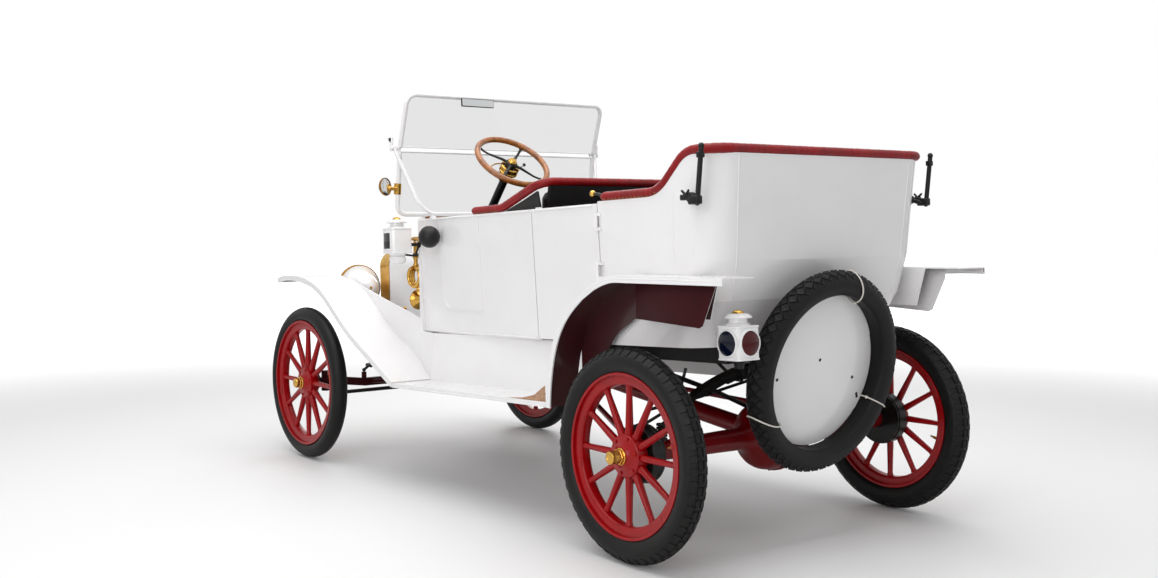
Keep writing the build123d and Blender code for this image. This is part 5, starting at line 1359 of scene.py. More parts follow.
@dataclass
class Lighting:
    """Side lamps, tail lamp and headlamps."""

    headlamp: Point = (340.0, FRONT_AXLE_Y - 158.0, 898.0)
    side_lamp: Point = (572.0, BODY_FRONT_Y - 41.0, 1130.0)
    tail_lamp: Point = (490.0, REAR_AXLE_Y + 322.0, 722.0)
    rim: float = 125.0

    def build(self) -> None:
        """Makes every lamp."""
        for side, word in ((1, "left"), (-1, "right")):
            self._side_lamp(side, word)
        self._tail_lamp()
        self._headlamps()

    def _side_lamp(self, side: int, word: str) -> None:
        """One side lamp with its arm to the dash."""
        x, y, z = self.side_lamp
        arm = Shape("side_lamp_" + word, WHITE).use(BLACK_IRON)
        foot_y = DASH_Y + 11
        arm.rod((side * 470.3, foot_y, z - 20), (side * (x - 44), foot_y, z - 20), 8, 16)
        arm.lathe([(0, 0), (15, 0), (15, 4), (11, 7), (0, 7)],
                  axes_at((side * 470.3, foot_y, z - 20), (side, 0, 0)), 20)
        arm.tube([(side * 476, foot_y, z - 30), (side * 494, foot_y, z - 74),
                  (side * (x - 30), self.side_lamp[1] + 10, z - 66)], 5.5, 12)
        # The outboard pane's near-black colour is painted shade of the lamp's inside.
        panes = {("+x" if side > 0 else "-x"): (PANE_PAINTED_SHADE, 0.0), "-y": (MIRROR, 28.0)}
        stands_for = ("side_lamps",) if side > 0 else ()
        OilLamp((side * x, y, z), arm.name, "car", panes, stands_for).build(arm)

    def _tail_lamp(self) -> None:
        """Tail lamp with a blue lens outboard and a ruby lens behind."""
        x, y, z = self.tail_lamp
        arm = Shape("tail_lamp_left", WHITE)
        arm.use(BLACK_IRON)
        rear_end = REAR_AXLE_Y + 32.0
        arm.tube(rounded([(x, y - 46, z - 30), (x - 70, y - 126, 672), (222, rear_end + 30, 658),
                          (222, rear_end + 0.6, 658)], [40, 16]), 9, 14)
        OilLamp((x, y, z), arm.name, "car", {"+x": (BLUE, 43.0), "+y": (RUBY, 43.0)},
                ("tail_lamp",), font=False).build(arm)

    def _headlamps(self) -> None:
        """White bowls with brass doors, lenses, hinge lugs and forks."""
        shape = Shape("headlamp_pair", WHITE)
        x, y, z = self.headlamp
        bowl = [(0, -150), (12, -149.5), (30, -143), (50, -130), (66, -112), (77, -88), (86, -58),
                (92, -34), (100, -28), (118, -26)]
        for side in (1, -1):
            at = axes_at((side * x, y, z), (0, -1, 0))
            shape.use(WHITE)
            shape.lathe([*bowl, (118, -18), (0, -18)], at, 64)
            shape.use(BRASS)
            shape.lathe([(106, -24), (self.rim - 2, -26), (self.rim, -22), (self.rim, -6),
                         (self.rim - 4, -1), (112, 0), (106, -3)], at, 72, loop=True)
            shape.lathe([(0, -152), (7, -152), (9, -148), (5, -144), (0, -144)], at, 20)
            shape.use(STEEL)
            shape.lathe([(0, -17), (60, -16), (107, -12), (107, -18.5), (0, -18.5)], at, 48)
            shape.use(GLASS)
            shape.lathe([(0, -1.5), (60, -3), (106, -8), (106, -10), (60, -6), (0, -4.5)], at, 48)
            shape.use(BLACK_IRON)
            fork_y = y + 70
            rail = (side * 256, FRONT_AXLE_Y - 72.0, 654.0)
            shape.tube(rounded([(side * x, fork_y, z - 60), (side * x, fork_y, z - 190), rail,
                                (rail[0], rail[1] + 39.4, rail[2])], [30, 16]), 9, 14)
            shape.tube([(side * x + 96 * math.sin(a), fork_y - 30, z - 100 * math.cos(a))
                        for a in [-1.3 + 2.6 * k / 16 for k in range(17)]], 6, 10)
            shape.lathe([(0, 0), (15, 0), (15, 5), (0, 7)],
                        axes_at((rail[0], rail[1] + 34, rail[2]), (0, -1, 0)), 20)
        shape.piece("car", ["headlamps"])


@dataclass
class Horn:
    """Bulb horn: rubber ball, coiled brass pipe and bell."""

    ball_y: float = BODY_FRONT_Y + 187.0
    ball_z: float = 1141.0
    ball_radius: float = 50.0
    pipe_y: float = DASH_Y - 62.0
    pipe_x: float = 450.0
    coil_z: float = 955.0
    coil_radius: float = 45.0
    pipe: float = 10.0

    def build(self) -> None:
        """Makes the ball and the brass work."""
        ball_x = BODY.half_width(self.ball_y, self.ball_z) + self.ball_radius + 6
        spot = Vector((ball_x, self.ball_y, self.ball_z))
        neck = Vector((ball_x - 22, self.ball_y - 110, self.ball_z - 4))
        toward = (neck - spot).normalized()
        at = axes_at(spot, toward, (0, 0, 1))
        radius = self.ball_radius
        arc = [math.radians(4 + 150 * k / 18) for k in range(19)]
        profile = [(0, -radius), *[(radius * math.sin(a), -radius * math.cos(a)) for a in arc],
                   (20, 47), (20, 58), (14, 60), (0, 60)]
        ball = Shape("horn_bulb", RUBBER)
        ball.lathe(profile, at, 40)
        ball.lathe([(radius * 0.985, -3), (radius + 0.9, -1.2), (radius + 0.9, 1.2),
                    (radius * 0.985, 3)], at, 40, loop=True)
        ball.piece("car", ["horn_ball"])
        self._brass(neck, toward)

    def _brass(self, neck: Vector, toward: Vector) -> None:
        """Pipe from the ball, two turns beside the dash, and the bell."""
        shape = Shape("horn_pipe", BRASS)
        start = neck - toward * 52
        at = axes_at(start, toward, (0, 0, 1))
        shape.lathe([(0, 0), (17, 0), (17, 10), (14, 13), (14, 38), (16, 40), (16, 50), (12, 54),
                     (0, 54)], at, 28)
        top_z, low_z = self.ball_z - 12, self.coil_z + self.coil_radius - 4
        route = rounded([neck, (506, DASH_Y + 16, self.ball_z - 4),
                         (self.pipe_x, self.pipe_y, top_z), (self.pipe_x, self.pipe_y, low_z)],
                        [20, 20])
        shape.tube(route, self.pipe, 16)
        turns = [math.tau * k / 32 for k in range(32 * 3 + 1)]
        coil = [(self.pipe_x - 18 + 12 * a / math.tau, self.pipe_y + self.coil_radius
                 * math.sin(a), self.coil_z + self.coil_radius * math.cos(a)) for a in turns]
        shape.tube(coil, self.pipe * 0.9, 16)
        root = Vector((420, DASH_Y - 26, 846))
        shape.tube(rounded([(self.pipe_x, self.pipe_y, self.coil_z - self.coil_radius),
                            (430, self.pipe_y + 20, 890), tuple(root)], [18]), self.pipe, 16)
        bell = [(0, 16), (12, 15), (14, 8), (14.5, -8), (17, -24), (21, -38), (28, -52), (38, -63),
                (47, -69), (48, -70), (46, -70.4), (36, -64), (26, -54), (18, -36), (0, -30)]
        shape.lathe([(r, -a) for r, a in bell], axes_at(root, (0, -1, 0)), 48)
        shape.tube([(420 + 47.4 * math.cos(a), DASH_Y - 95.5, 846 + 47.4 * math.sin(a))
                    for a in [math.tau * k / 48 for k in range(48)]], 1.4, 8, closed=True)
        for spot, along in (((self.pipe_x, self.pipe_y, 1050), (0, 0, 1)),
                            ((self.pipe_x, self.pipe_y, 1012), (0, 0, 1))):
            shape.lathe([(0, -6), (13.5, -6), (14.5, 0), (13.5, 6), (0, 6)], axes_at(spot, along),
                        28)
        shape.use(BLACK_IRON)
        shape.block((self.pipe_x - 8, self.pipe_y, 1055), (self.pipe_x + 8, DASH_Y - 0.3, 1067),
                    1.5)
        shape.lathe([(0, -8), (14, -8), (14, 8), (0, 8)],
                    Matrix.Translation((self.pipe_x, self.pipe_y, 1061)), 24)
        shape.piece("car", ["bulb_horn"])


@dataclass
class Steering:
    """Wooden steering wheel, gear case, column, levers and their quadrant."""

    x: float = 290.0
    centre_y: float = FRONT_AXLE_Y + 1254.0
    centre_z: float = 1467.0
    tilt: float = 41.7
    radius: float = 181.0
    rim: float = 12.5

    def build(self) -> None:
        """Makes the wheel and the column."""
        lean = math.radians(self.tilt)
        self.line = Vector((0, math.sin(lean), math.cos(lean)))
        self.centre = Vector((self.x, self.centre_y, self.centre_z))
        self.at = axes_at(self.centre, self.line)
        self._wheel()
        self._column()

    def _wheel(self) -> None:
        """Rim, curved spider and boss."""
        reach = self.radius - self.rim
        shape = Shape("steering_rim", WOOD)
        section = [math.tau * k / 20 for k in range(20)]
        shape.lathe([(reach - 1.2 + (self.rim + 1.2) * math.cos(a), (self.rim + 1.2) * math.sin(a))
                     for a in section], self.at, 96, loop=True)
        shape.use(BLACK_IRON)
        for turn in range(4):
            angle = math.radians(45 + 90 * turn)
            side = Vector((math.cos(angle), math.sin(angle), 0))
            stations = ((18, -12), (50, -12), (85, -16), (115, -19), (140, -17), (158, -11),
                        (reach, -8))
            shape.tube([self.at @ (side * r + Vector((0, 0, h))) for r, h in stations],
                       [10, 9, 7.5, 6.5, 6.5, 8, 9], 14, flat=0.7)
            shape.lathe([(0, -14), (12, -14), (12, -10), (0, -10)],
                        self.at @ Matrix.Translation(side * (reach - 1)), 16)
        shape.lathe([(0, -21), (26, -21), (27, -18), (27, -6), (22, -2), (0, -2)], self.at, 40)
        shape.use(BRASS)
        shape.lathe([(0, -3), (21, -3), (21, 3), (17, 8), (15, 11), (0, 12)], self.at, 36)
        shape.lathe([(0, -2), (13, -2), (13, 11.5), (0, 11.5)], self.at, 6)
        shape.piece("steering_wheel", ["steering_wheel"])

    def _column(self) -> None:
        """Brass gear case, tube, quadrant and the two hand levers."""
        shape = Shape("steering_post", BLACK_IRON)
        shape.lathe([(0, -1140), (19, -1140), (19, -62), (0, -62)], self.at, 28)
        for place in (-640.0, -300.0):
            shape.lathe([(0, place - 14), (23, place - 14), (23, place + 14), (0, place + 14)],
                        self.at, 28)
        foot = self.at @ Vector((0, 0, -1095))
        shape.rod((265.3, foot.y, foot.z), foot, 14, 20)
        shape.use(BRASS)
        shape.lathe([(0, -62), (30, -62), (42, -60), (44, -56), (44, -50), (42, -48), (42, -34),
                     (44, -32), (44, -27), (40, -23), (0, -22)], self.at, 56)
        shape.lathe([(0, -82), (24, -82), (27, -78), (28, -62), (0, -62)], self.at, 32)
        arc = [math.radians(200 + 140 * k / 20) for k in range(21)]
        shape.tube([self.at @ Vector((78 * math.cos(a), 78 * math.sin(a), -70)) for a in arc], 3.2,
                   8)
        for angle, reach in ((205.0, 128.0), (335.0, 120.0)):
            turn = math.radians(angle)
            side = Vector((math.cos(turn), math.sin(turn), 0))
            shape.use(STEEL)
            shape.tube([self.at @ (side * r + Vector((0, 0, h))) for r,
                        h in ((22, -74), (70, -72), (reach, -58))], [4, 3.5, 3], 10)
            shape.use(RUBBER)
            shape.ball(self.at @ (side * (reach + 4) + Vector((0, 0, -57))), 8)
        shape.piece("car", ["steering_column"])
        cell = Shape("gear_case_screws", STEEL)
        cell.lathe([(0, -2), (3.4, -2), (3.4, 0), (2.2, 1.6), (0, 2)],
                   Matrix.Translation((33, 0, 0)), 8)
        ring_piece(cell, 8, self.at @ Matrix.Translation((0, 0, -22.6)), "car", RAKED)


@dataclass
class Upholstery:
    """Black leather seats, swelled in cloth, and crimson rolls on the body's edges."""

    channel: float = 74.0
    roll_radius: float = 15.0
    voxel: float = 0.009
    pressure: float = 4.0
    cap: float = 0.022

    def build(self) -> None:
        """Makes both seats and both rolls."""
        self._front_seat()
        self._rear_seat()
        self._rolls()

    @staticmethod
    def _ring(z: float, front: float, back: float, half: float, corner: float) -> list[Point]:
        """Plan of a cushion at one height, with its rear corners rounded."""
        ring = []
        for cx, cy, first, radius in ((half, front, -90, 16.0), (half, back, 0, corner),
                                      (-half, back, 90, corner), (-half, front, 180, 16.0)):
            centre_x = cx - math.copysign(radius, cx)
            centre_y = cy + radius if cy == front else cy - radius
            for step in range(7):
                angle = math.radians(first + 15 * step)
                ring.append((centre_x + radius * math.cos(angle),
                             centre_y + radius * math.sin(angle), z))
        return ring

    def _pad(self, name: str, stations: Sequence[Point], fill: float,
             stands_for: Sequence[str] = ()) -> None:
        """One stuffed pad with sewn channels.

        Args:
            name: Name of the piece.
            stations: Height, front, back, half width and corner at each level.
            fill: How tight it is stuffed; not used.
            stands_for: CAD nodes that it is shown instead of.
        """
        shape = Shape(name, BLACK_LEATHER)
        shape.loft([self._ring(*station) for station in stations])
        pad = shape.raw(smooth=180)
        self._remesh(pad)
        self._swell(pad)
        self._sew(pad)
        subdivided = pad.modifiers.new("smooth", "SUBSURF")
        subdivided.levels = subdivided.render_levels = 1
        self._bake(pad)
        pad.data.shade_smooth()
        settle(pad, "car", stands_for)

    @staticmethod
    def _bake(pad: bpy.types.Object) -> None:
        """Makes the modifiers' result the pad's own mesh."""
        bpy.context.view_layer.update()
        evaluated = pad.evaluated_get(bpy.context.evaluated_depsgraph_get())
        data = bpy.data.meshes.new_from_object(evaluated)
        pad.modifiers.clear()
        pad.data = data
        if not data.materials:
            data.materials.append(BLACK_LEATHER.material())

    def _remesh(self, pad: bpy.types.Object) -> None:
        """Even small faces that cloth can work on."""
        remesh = pad.modifiers.new("even", "REMESH")
        remesh.mode, remesh.voxel_size = "VOXEL", self.voxel
        self._bake(pad)

    def _swell(self, pad: bpy.types.Object) -> None:
        """Blows the pad up as cloth, and limits how far each point may go."""
        rest = [v.co.copy() for v in pad.data.vertices]
        cloth = pad.modifiers.new("cloth", "CLOTH")
        cloth.settings.use_pressure = True
        cloth.settings.uniform_pressure_force = self.pressure
        cloth.settings.effector_weights.gravity = 0.0
        scene = bpy.context.scene
        for step in range(1, 21):
            scene.frame_set(step)
        self._bake(pad)
        scene.frame_set(1)
        for vertex, start in zip(pad.data.vertices, rest):
            moved = vertex.co - start
            if moved.length > self.cap:
                vertex.co = start + moved * (self.cap / moved.length)

    def _sew(self, pad: bpy.types.Object) -> None:
        """Presses the sewn channels and their small puckers into the top and front."""
        normals = [v.normal.copy() for v in pad.data.vertices]
        for vertex, normal in zip(pad.data.vertices, normals):
            shown = max(normal.z, -normal.y)
            share = max(0.0, min(1.0, (shown - 0.15) / 0.5))
            x = vertex.co.x / MM
            off = (x + self.channel / 2) % self.channel - self.channel / 2
            groove = math.exp(-((off / 6.5) ** 2)) * 9.0 - 3.0 * math.cos(math.tau * off
                                                                          / self.channel)
            wrinkle = noise.noise(vertex.co * 26.0) * 1.6
            vertex.co -= normal * ((groove * share + wrinkle) * MM)

    def _front_seat(self) -> None:
        """Riser, cushion, leaning back and the side panels under the roll."""
        front, face = REAR_AXLE_Y - 1240.0, SEAM_Y - 18.5
        base = Shape("front_seat_base", BLACK_LEATHER)
        base.block((-425, front + 12, 714.6), (425, face - 2, 862), 6, 3)
        for side in (1, -1):
            inner = side * (BODY.half_width(SEAM_Y, BODY_TOP) - WALL - 11)
            outline = [(190, 1231), (404, 1231), (404, 1237.5), (448, 1237.5), (430, 1305),
                       (330, 1272)]
            at = axes_at((inner, 0, 0), (1, 0, 0), (0, 1, 0))
            base.prism(outline, at, side * 12.0, 3.0, 3)
        base.piece("car", ["front_seat"])
        wide = [BODY.half_width(y, z) - WALL - 18 for y, z in ((front, 880), (front, 960))]
        self._pad("front_cushion", [(870, front, face - 8, wide[0] - 4, 24),
                                    (905, front - 6, face - 8, wide[0], 30),
                                    (950, front - 10, face - 10, wide[1], 30),
                                    (972, front - 2, face - 16, wide[1] - 8, 30)], 0.75)
        self._pad("front_back", [(968, face - 84, face - 10, 440, 30),
                                 (1060, face - 72, face + 4, 455, 30),
                                 (1200, face - 48, face + 30, 462, 30),
                                 (1290, face - 30, face + 44, 462, 34),
                                 (1314, face - 14, face + 40, 452, 26)], 0.8)

    def _rear_seat(self) -> None:
        """Riser, cushion and the back that fills the tub's round corners."""
        front = REAR_AXLE_Y - 250.0
        base = Shape("rear_seat_base", BLACK_LEATHER)
        base.block((-470, front + 12, 714.6), (470, 1330, 862), 6, 3)
        base.piece("car", ["rear_seat"])
        self._pad("rear_cushion", [(870, front, 1330, 492, 40), (905, front - 6, 1330, 498, 46),
                                   (950, front - 10, 1330, 502, 50),
                                   (972, front - 2, 1320, 494, 50)], 0.75)
        self._pad("rear_back", [(960, 1284, 1466, 508, 90), (1060, 1326, 1480, 516, 92),
                                (1200, 1384, 1494, 522, 94), (1310, 1430, 1506, 526, 90),
                                (1348, 1452, 1500, 518, 60)], 0.85)

    def _rolls(self) -> None:
        """Gathered crimson rolls with a welt of tacks below each."""
        self._roll("front_roll", self._front_path(), False)
        self._roll("rear_roll", self._rear_path(), True)

    def _front_path(self) -> list[Vector]:
        """Middle line of the front roll."""
        start_y, rise_y, low_z = BODY_FRONT_Y + 484.0, BODY_FRONT_Y + 740.0, BODY_TOP + 15.4
        half = [(BODY.half_width(y, low_z) - WALL / 2, y, low_z) for y in (start_y, rise_y)]
        half.append((508.0, SEAM_Y + 52.0, 1342.0))
        left = [Vector(p) for p in half]
        right = [Vector((-x, y + (78.0 if k == 0 else 0.0), z)) for k, (x, y, z) in enumerate(half)]
        return divided(rounded([*left, *right[::-1]], [200, 70, 70, 200], 12), 9.0)

    def _rear_path(self) -> list[Vector]:
        """Middle line of the rear roll."""
        arm_z, back_z = 1238.0 + 15.4, 1372.0 + 15.4
        rise_start, rise_end = REAR_AXLE_Y + 14.0 - 6.0, REAR_AXLE_Y + 172.0 - 6.0
        spots = [(PILLAR_Y + 8, arm_z), (rise_start, arm_z), (rise_end, back_z),
                 (REAR_AXLE_Y + 326.0 - 17.0, back_z)]
        left = [Vector((BODY.half_width(y, z) - WALL / 2, y, z)) for y, z in spots]
        right = [Vector((-p.x, p.y, p.z)) for p in left]
        return divided(rounded([*left, *right[::-1]], [165, 135, 84, 84, 135, 165], 12), 9.0)

    def _roll(self, node: str, path: list[Vector], tall: bool) -> None:
        """One roll with gathers, closed round its ends, and its tacks."""
        run, radii = 0.0, []
        for i, spot in enumerate(path):
            run += (spot - path[i - 1]).length if i else 0.0
            gather = abs(math.sin(math.pi * run / 31.0)) ** 0.5
            radii.append(self.roll_radius + 2.3 + 1.0 * gather + 0.5 * noise.noise(spot * 0.03))
        for i in range(4):
            share = math.sin(math.pi / 2 * (i + 0.35) / 4.35)
            radii[i] *= share
            radii[-1 - i] *= share
        roll = Shape(node + "_leather", RED_LEATHER)
        roll.tube(path, radii, 24)
        made = roll.piece("car", [node], smooth=60)
        cell = Shape(node + "_tacks", OLD_BRASS)
        cell.lathe([(3.4, -1.5), (3.2, 0.4), (2.0, 1.7), (0, 2.2)], Matrix(), 7)
        drop = self.roll_radius - 4.0
        outer = [spot + Vector((math.copysign(15.4, spot.x) if abs(spot.x) > 30 else 0.0, 0.0,
                                -drop)) for spot in path[5:-5]]
        if tall:
            side = [p for p in outer if p.x > 0 and p.y < REAR_AXLE_Y + 4]
            path_piece(cell, side, 22.0, -1, "car")
        else:
            side = [p for p in outer if p.x > 0 and p.y < BODY_FRONT_Y + 720]
            path_piece(cell, side, 22.0, -1, "car")


@dataclass
class Windshield:
    """Folding windshield with its stays, and both mirrors."""

    half: float = 575.0
    tube: float = 11.0
    corner: float = 46.0
    base: Point = (FRONT_AXLE_Y + 700.0, 1254.0)
    hinge: Point = (FRONT_AXLE_Y + 744.0, 1562.0)
    top: Point = (FRONT_AXLE_Y + 827.0, 1806.0)
    pivot_y: float = FRONT_AXLE_Y + 729.0
    stay_x: float = 600.0
    mirror: Point = (648.0, FRONT_AXLE_Y + 720.0, 1378.0)

    def build(self) -> None:
        """Makes both halves, the clamps and the mirrors."""
        base, hinge, top = (Vector((0, *spot)) for spot in (self.base, self.hinge, self.top))
        self.low_up, self.high_up = (hinge - base).normalized(), (top - hinge).normalized()
        self._half("screen_frame_lower", "windshield_lower", base, hinge - self.low_up * 15, 5.0,
                   "car")
        self._half("screen_frame_upper", "windshield_upper", top, hinge + self.high_up * 7, 2.8,
                   "screen_top")
        self._pane("screen_pane_lower", "glass_lower", base + self.low_up * 10,
                   hinge - self.low_up * 12, "car")
        self._pane("screen_pane_upper", "glass_upper", hinge + self.high_up * 9,
                   top - self.high_up * 10, "screen_top")
        self._clamps()
        self._side_mirror()
        self._inner_mirror(top)

    def _half(self, name: str, node: str, far: Vector, near: Vector, bar: float, body: str) -> None:
        """Bent tube of one half with its thin bar at the hinge.

        Args:
            name: Name of the piece.
            node: CAD node that it is shown instead of.
            far: Middle of the side away from the hinge.
            near: Middle of the bar at the hinge.
            bar: Radius of that bar.
            body: CAD body that it moves with.
        """
        shape = Shape(name, WHITE)
        out = Vector((self.half, 0, 0))
        shape.tube(rounded([near - out, far - out, far + out, near + out],
                           [self.corner, self.corner]), self.tube, 18)
        shape.rod(near - out, near + out, bar, 12)
        for side in (1, -1):
            if body == "car":
                self._stay(shape, side)
                shape.rod((side * (self.half - 9), self.pivot_y, self.hinge[1]),
                          (side * 609, self.pivot_y, self.hinge[1]), 4.5, 14)
                shape.lathe([(0, -9), (9, -9), (9, -0.5), (0, -0.5)],
                            axes_at((side * self.half, self.pivot_y, self.hinge[1]), (side, 0, 0)),
                            24)
                shape.tube([near + out * side, (side * (self.half - 5), self.pivot_y,
                                                self.hinge[1])], [9, 4.5], 12)
            else:
                shape.lathe([(5, 0.5), (10, 0.5), (10, 8), (5, 8)],
                            axes_at((side * self.half, self.pivot_y, self.hinge[1]), (side, 0, 0)),
                            24, loop=True)
                shape.tube([near + out * side, (side * (self.half + 5), self.pivot_y + 6,
                                                self.hinge[1])], [9, 4.0], 12)
        shape.piece(body, [node])

    def _stay(self, shape: Shape, side: int) -> None:
        """Bent stay from the pivot down to the body's edge."""
        foot_y = BODY_FRONT_Y + 112.0
        foot_x = side * (BODY.half_width(foot_y, BODY_TOP) - WALL / 2)
        route = [(side * self.stay_x, self.pivot_y - 2, self.hinge[1] + 9),
                 (side * 524, foot_y - 8, 1270), (foot_x, foot_y, 1250), (foot_x, foot_y, 1230.6)]
        shape.tube(rounded(route, [120, 14]), 8.6, 16)
        shape.lathe([(0, 0.6), (17, 0.6), (17, 4), (11, 8), (0, 8)],
                    Matrix.Translation((foot_x, foot_y, BODY_TOP)), 24)
        for x in (430.0, 200.0):
            shape.block((side * x - 10, DASH_Y + 3, 1243.2), (side * x + 10, DASH_Y + 14, 1246.5),
                        0.8)

    def _pane(self, name: str, node: str, low: Vector, high: Vector, body: str) -> None:
        """Sheet of glass between two heights of a half."""
        up = (high - low).normalized()
        at = axes_at(low, Vector((1, 0, 0)).cross(up))
        reach, tall = self.half - 10, (high - low).length
        shape = Shape(name, GLASS)
        shape.prism([(-reach, 0), (reach, 0), (reach, tall), (-reach, tall)],
                    at @ Matrix.Translation((0, 0, -2.5)), 5, 0.5, 1)
        shape.piece(body, [node])

    def _clamps(self) -> None:
        """Wing clamps outside the pivots: a white fork with a black pad in it."""
        shape = Shape("screen_clamps", WHITE)
        for side in (1, -1):
            spot = Vector((side * 611, self.pivot_y, self.hinge[1]))
            shape.use(WHITE)
            shape.lathe([(0, -3), (13, -3), (13, 4), (8, 7), (0, 7)], axes_at(spot, (side, 0, 0)),
                        24)
            for lean, reach in ((-26.0, 54.0), (6.0, 50.0)):
                shape.tube([spot, spot + Vector((0, lean * 0.6, reach * 0.5)),
                            spot + Vector((0, lean, reach))], [7, 5.5, 6.0], 12, flat=0.8)
            shape.use(RUBBER)
            shape.block((spot.x - 5, spot.y - 22, spot.z + 34),
                        (spot.x + 5, spot.y + 2, spot.z + 50), 2)
        shape.piece("car")

    def _side_mirror(self) -> None:
        """Round mirror in a brass case on a brass clamp, facing the driver."""
        x, y, z = self.mirror
        shape = Shape("round_mirror", OLD_BRASS)
        at = axes_at((x, y, z + 4), (-0.42, 0.9, 0.04))
        shape.lathe([(0, -22), (14, -21), (28, -15), (38, -6), (42, 0), (43, 5), (42, 8), (39, 8),
                     (39, 5), (0, 5)], at, 48)
        shape.use(MIRROR)
        shape.lathe([(0, 5.1), (39, 5.1), (37, 6.0), (0, 6.6)], at, 48)
        shape.use(BRASS)
        shape.tube([at @ Vector((0, 0, -18)), (x - 26, y - 14, z - 8), (x - 40, y, z - 4)],
                   [9, 8, 8], 14)
        shape.rod((self.half + 11.4, y, z - 4), (x - 30, y, z - 4), 9, 16)
        shape.ball((x - 32, y - 8, z - 2), 11)
        shape.lathe([(11.6, -26), (17.5, -26), (17.5, 26), (11.6, 26)],
                    axes_at((self.half, y - 9, z - 4), (0, 0.14, 1)), 28, loop=True)
        shape.piece("car", ["side_mirror"])

    def _inner_mirror(self, top: Vector) -> None:
        """Long mirror hung inside the upper frame."""
        hang = Vector((199, top.y + 10, 1782))
        shape = Shape("inner_mirror", BLACK_IRON)
        at = axes_at(hang, (0, 1, 0.05), (1, 0, 0))
        shape.prism([(-92, -20), (92, -20), (92, 20), (-92, 20)], at, 9, 3, 3)
        shape.use(MIRROR)
        shape.prism([(-89, -17), (89, -17), (89, 17), (-89, 17)],
                    at @ Matrix.Translation((0, 0, 8.2)), 1.4, 0.4)
        shape.use(STEEL)
        shape.rod(hang + Vector((0, 2, 14)), top + Vector((199, 4, -8)), 4, 12)
        shape.piece("screen_top")


@dataclass
class Spare:
    """Spare tyre on its white disc, with cords and fittings."""

    origin: Point = (10.0, REAR_AXLE_Y + 274.0, 585.0)
    lean: float = 12.0
    disc: float = 290.0

    def build(self) -> None:
        """Makes the tyre, the disc and its ties."""
        lean = math.radians(self.lean)
        self.at = axes_at(self.origin, (0, math.cos(lean), -math.sin(lean)))
        TyreForm(self.at, 90.0, 46.0, RAKED, "spare_tyre", "car").build(Tread.DIAMONDS)
        shape = Shape("spare_disc", WHITE)
        shape.lathe([(0, -26.6), (120, -27), (self.disc - 8, -27), (self.disc - 2, -28),
                     (self.disc - 1, -31), (0, -31)], self.at, 96)
        shape.use(BLACK_IRON)
        for side in (1, -1):
            shape.rod((side * 150, REAR_AXLE_Y + 34.5, 656),
                      (side * 150, self.origin[1] - 20, 625), 12, 16)
        shape.piece("car", ["spare_carrier"])
        self._hole_shade()
        self._ties()

    def _hole_shade(self) -> None:
        """Punched holes of the disc, drawn as thin black rings with their floors; the black is
        painted shade inside the holes.
        """
        # Black discs on the disc's face: painted shade where the holes are.
        shape = Shape("disc_holes", RUBBER)
        for x, y in ((-0.3, -36.5), (-194.3, 43.8), (215.9, 21.8), (-232.3, 112.0),
                     (-236.0, 122.0)):
            shape.lathe([(0, 0), (6.5, 0), (6.5, 0.7), (0, 0.7)],
                        self.at @ Matrix.Translation((x, y, -27.2)), 16)
        shape.piece("car")

    def _ties(self) -> None:
        """Three white cords drawn tight round the tyre at the disc's edge."""
        shape = Shape("tyre_ties", TIE)
        middle, tall, wide = WHEEL_RADIUS - 0.57 * 90.0, 0.57 * 90.0 + 1.8, 46.0 + 2.4
        for angle, twist in ((-107.0, 6.0), (30.0, -9.0), (155.0, 0.0)):
            loop = []
            for k in range(40):
                round_it = math.tau * k / 40
                turn = math.radians(angle + twist * math.cos(round_it))
                reach = middle + tall * math.cos(round_it)
                loop.append(self.at @ Vector((reach * math.cos(turn), reach * math.sin(turn),
                                              wide * math.sin(round_it))))
            shape.tube(loop, 2.8, 10, closed=True)
            turn = math.radians(angle - twist)
            shape.ball(self.at @ Vector(((middle - tall) * math.cos(turn),
                                         (middle - tall) * math.sin(turn), 8)), 6.0, 12)
        shape.piece("car")


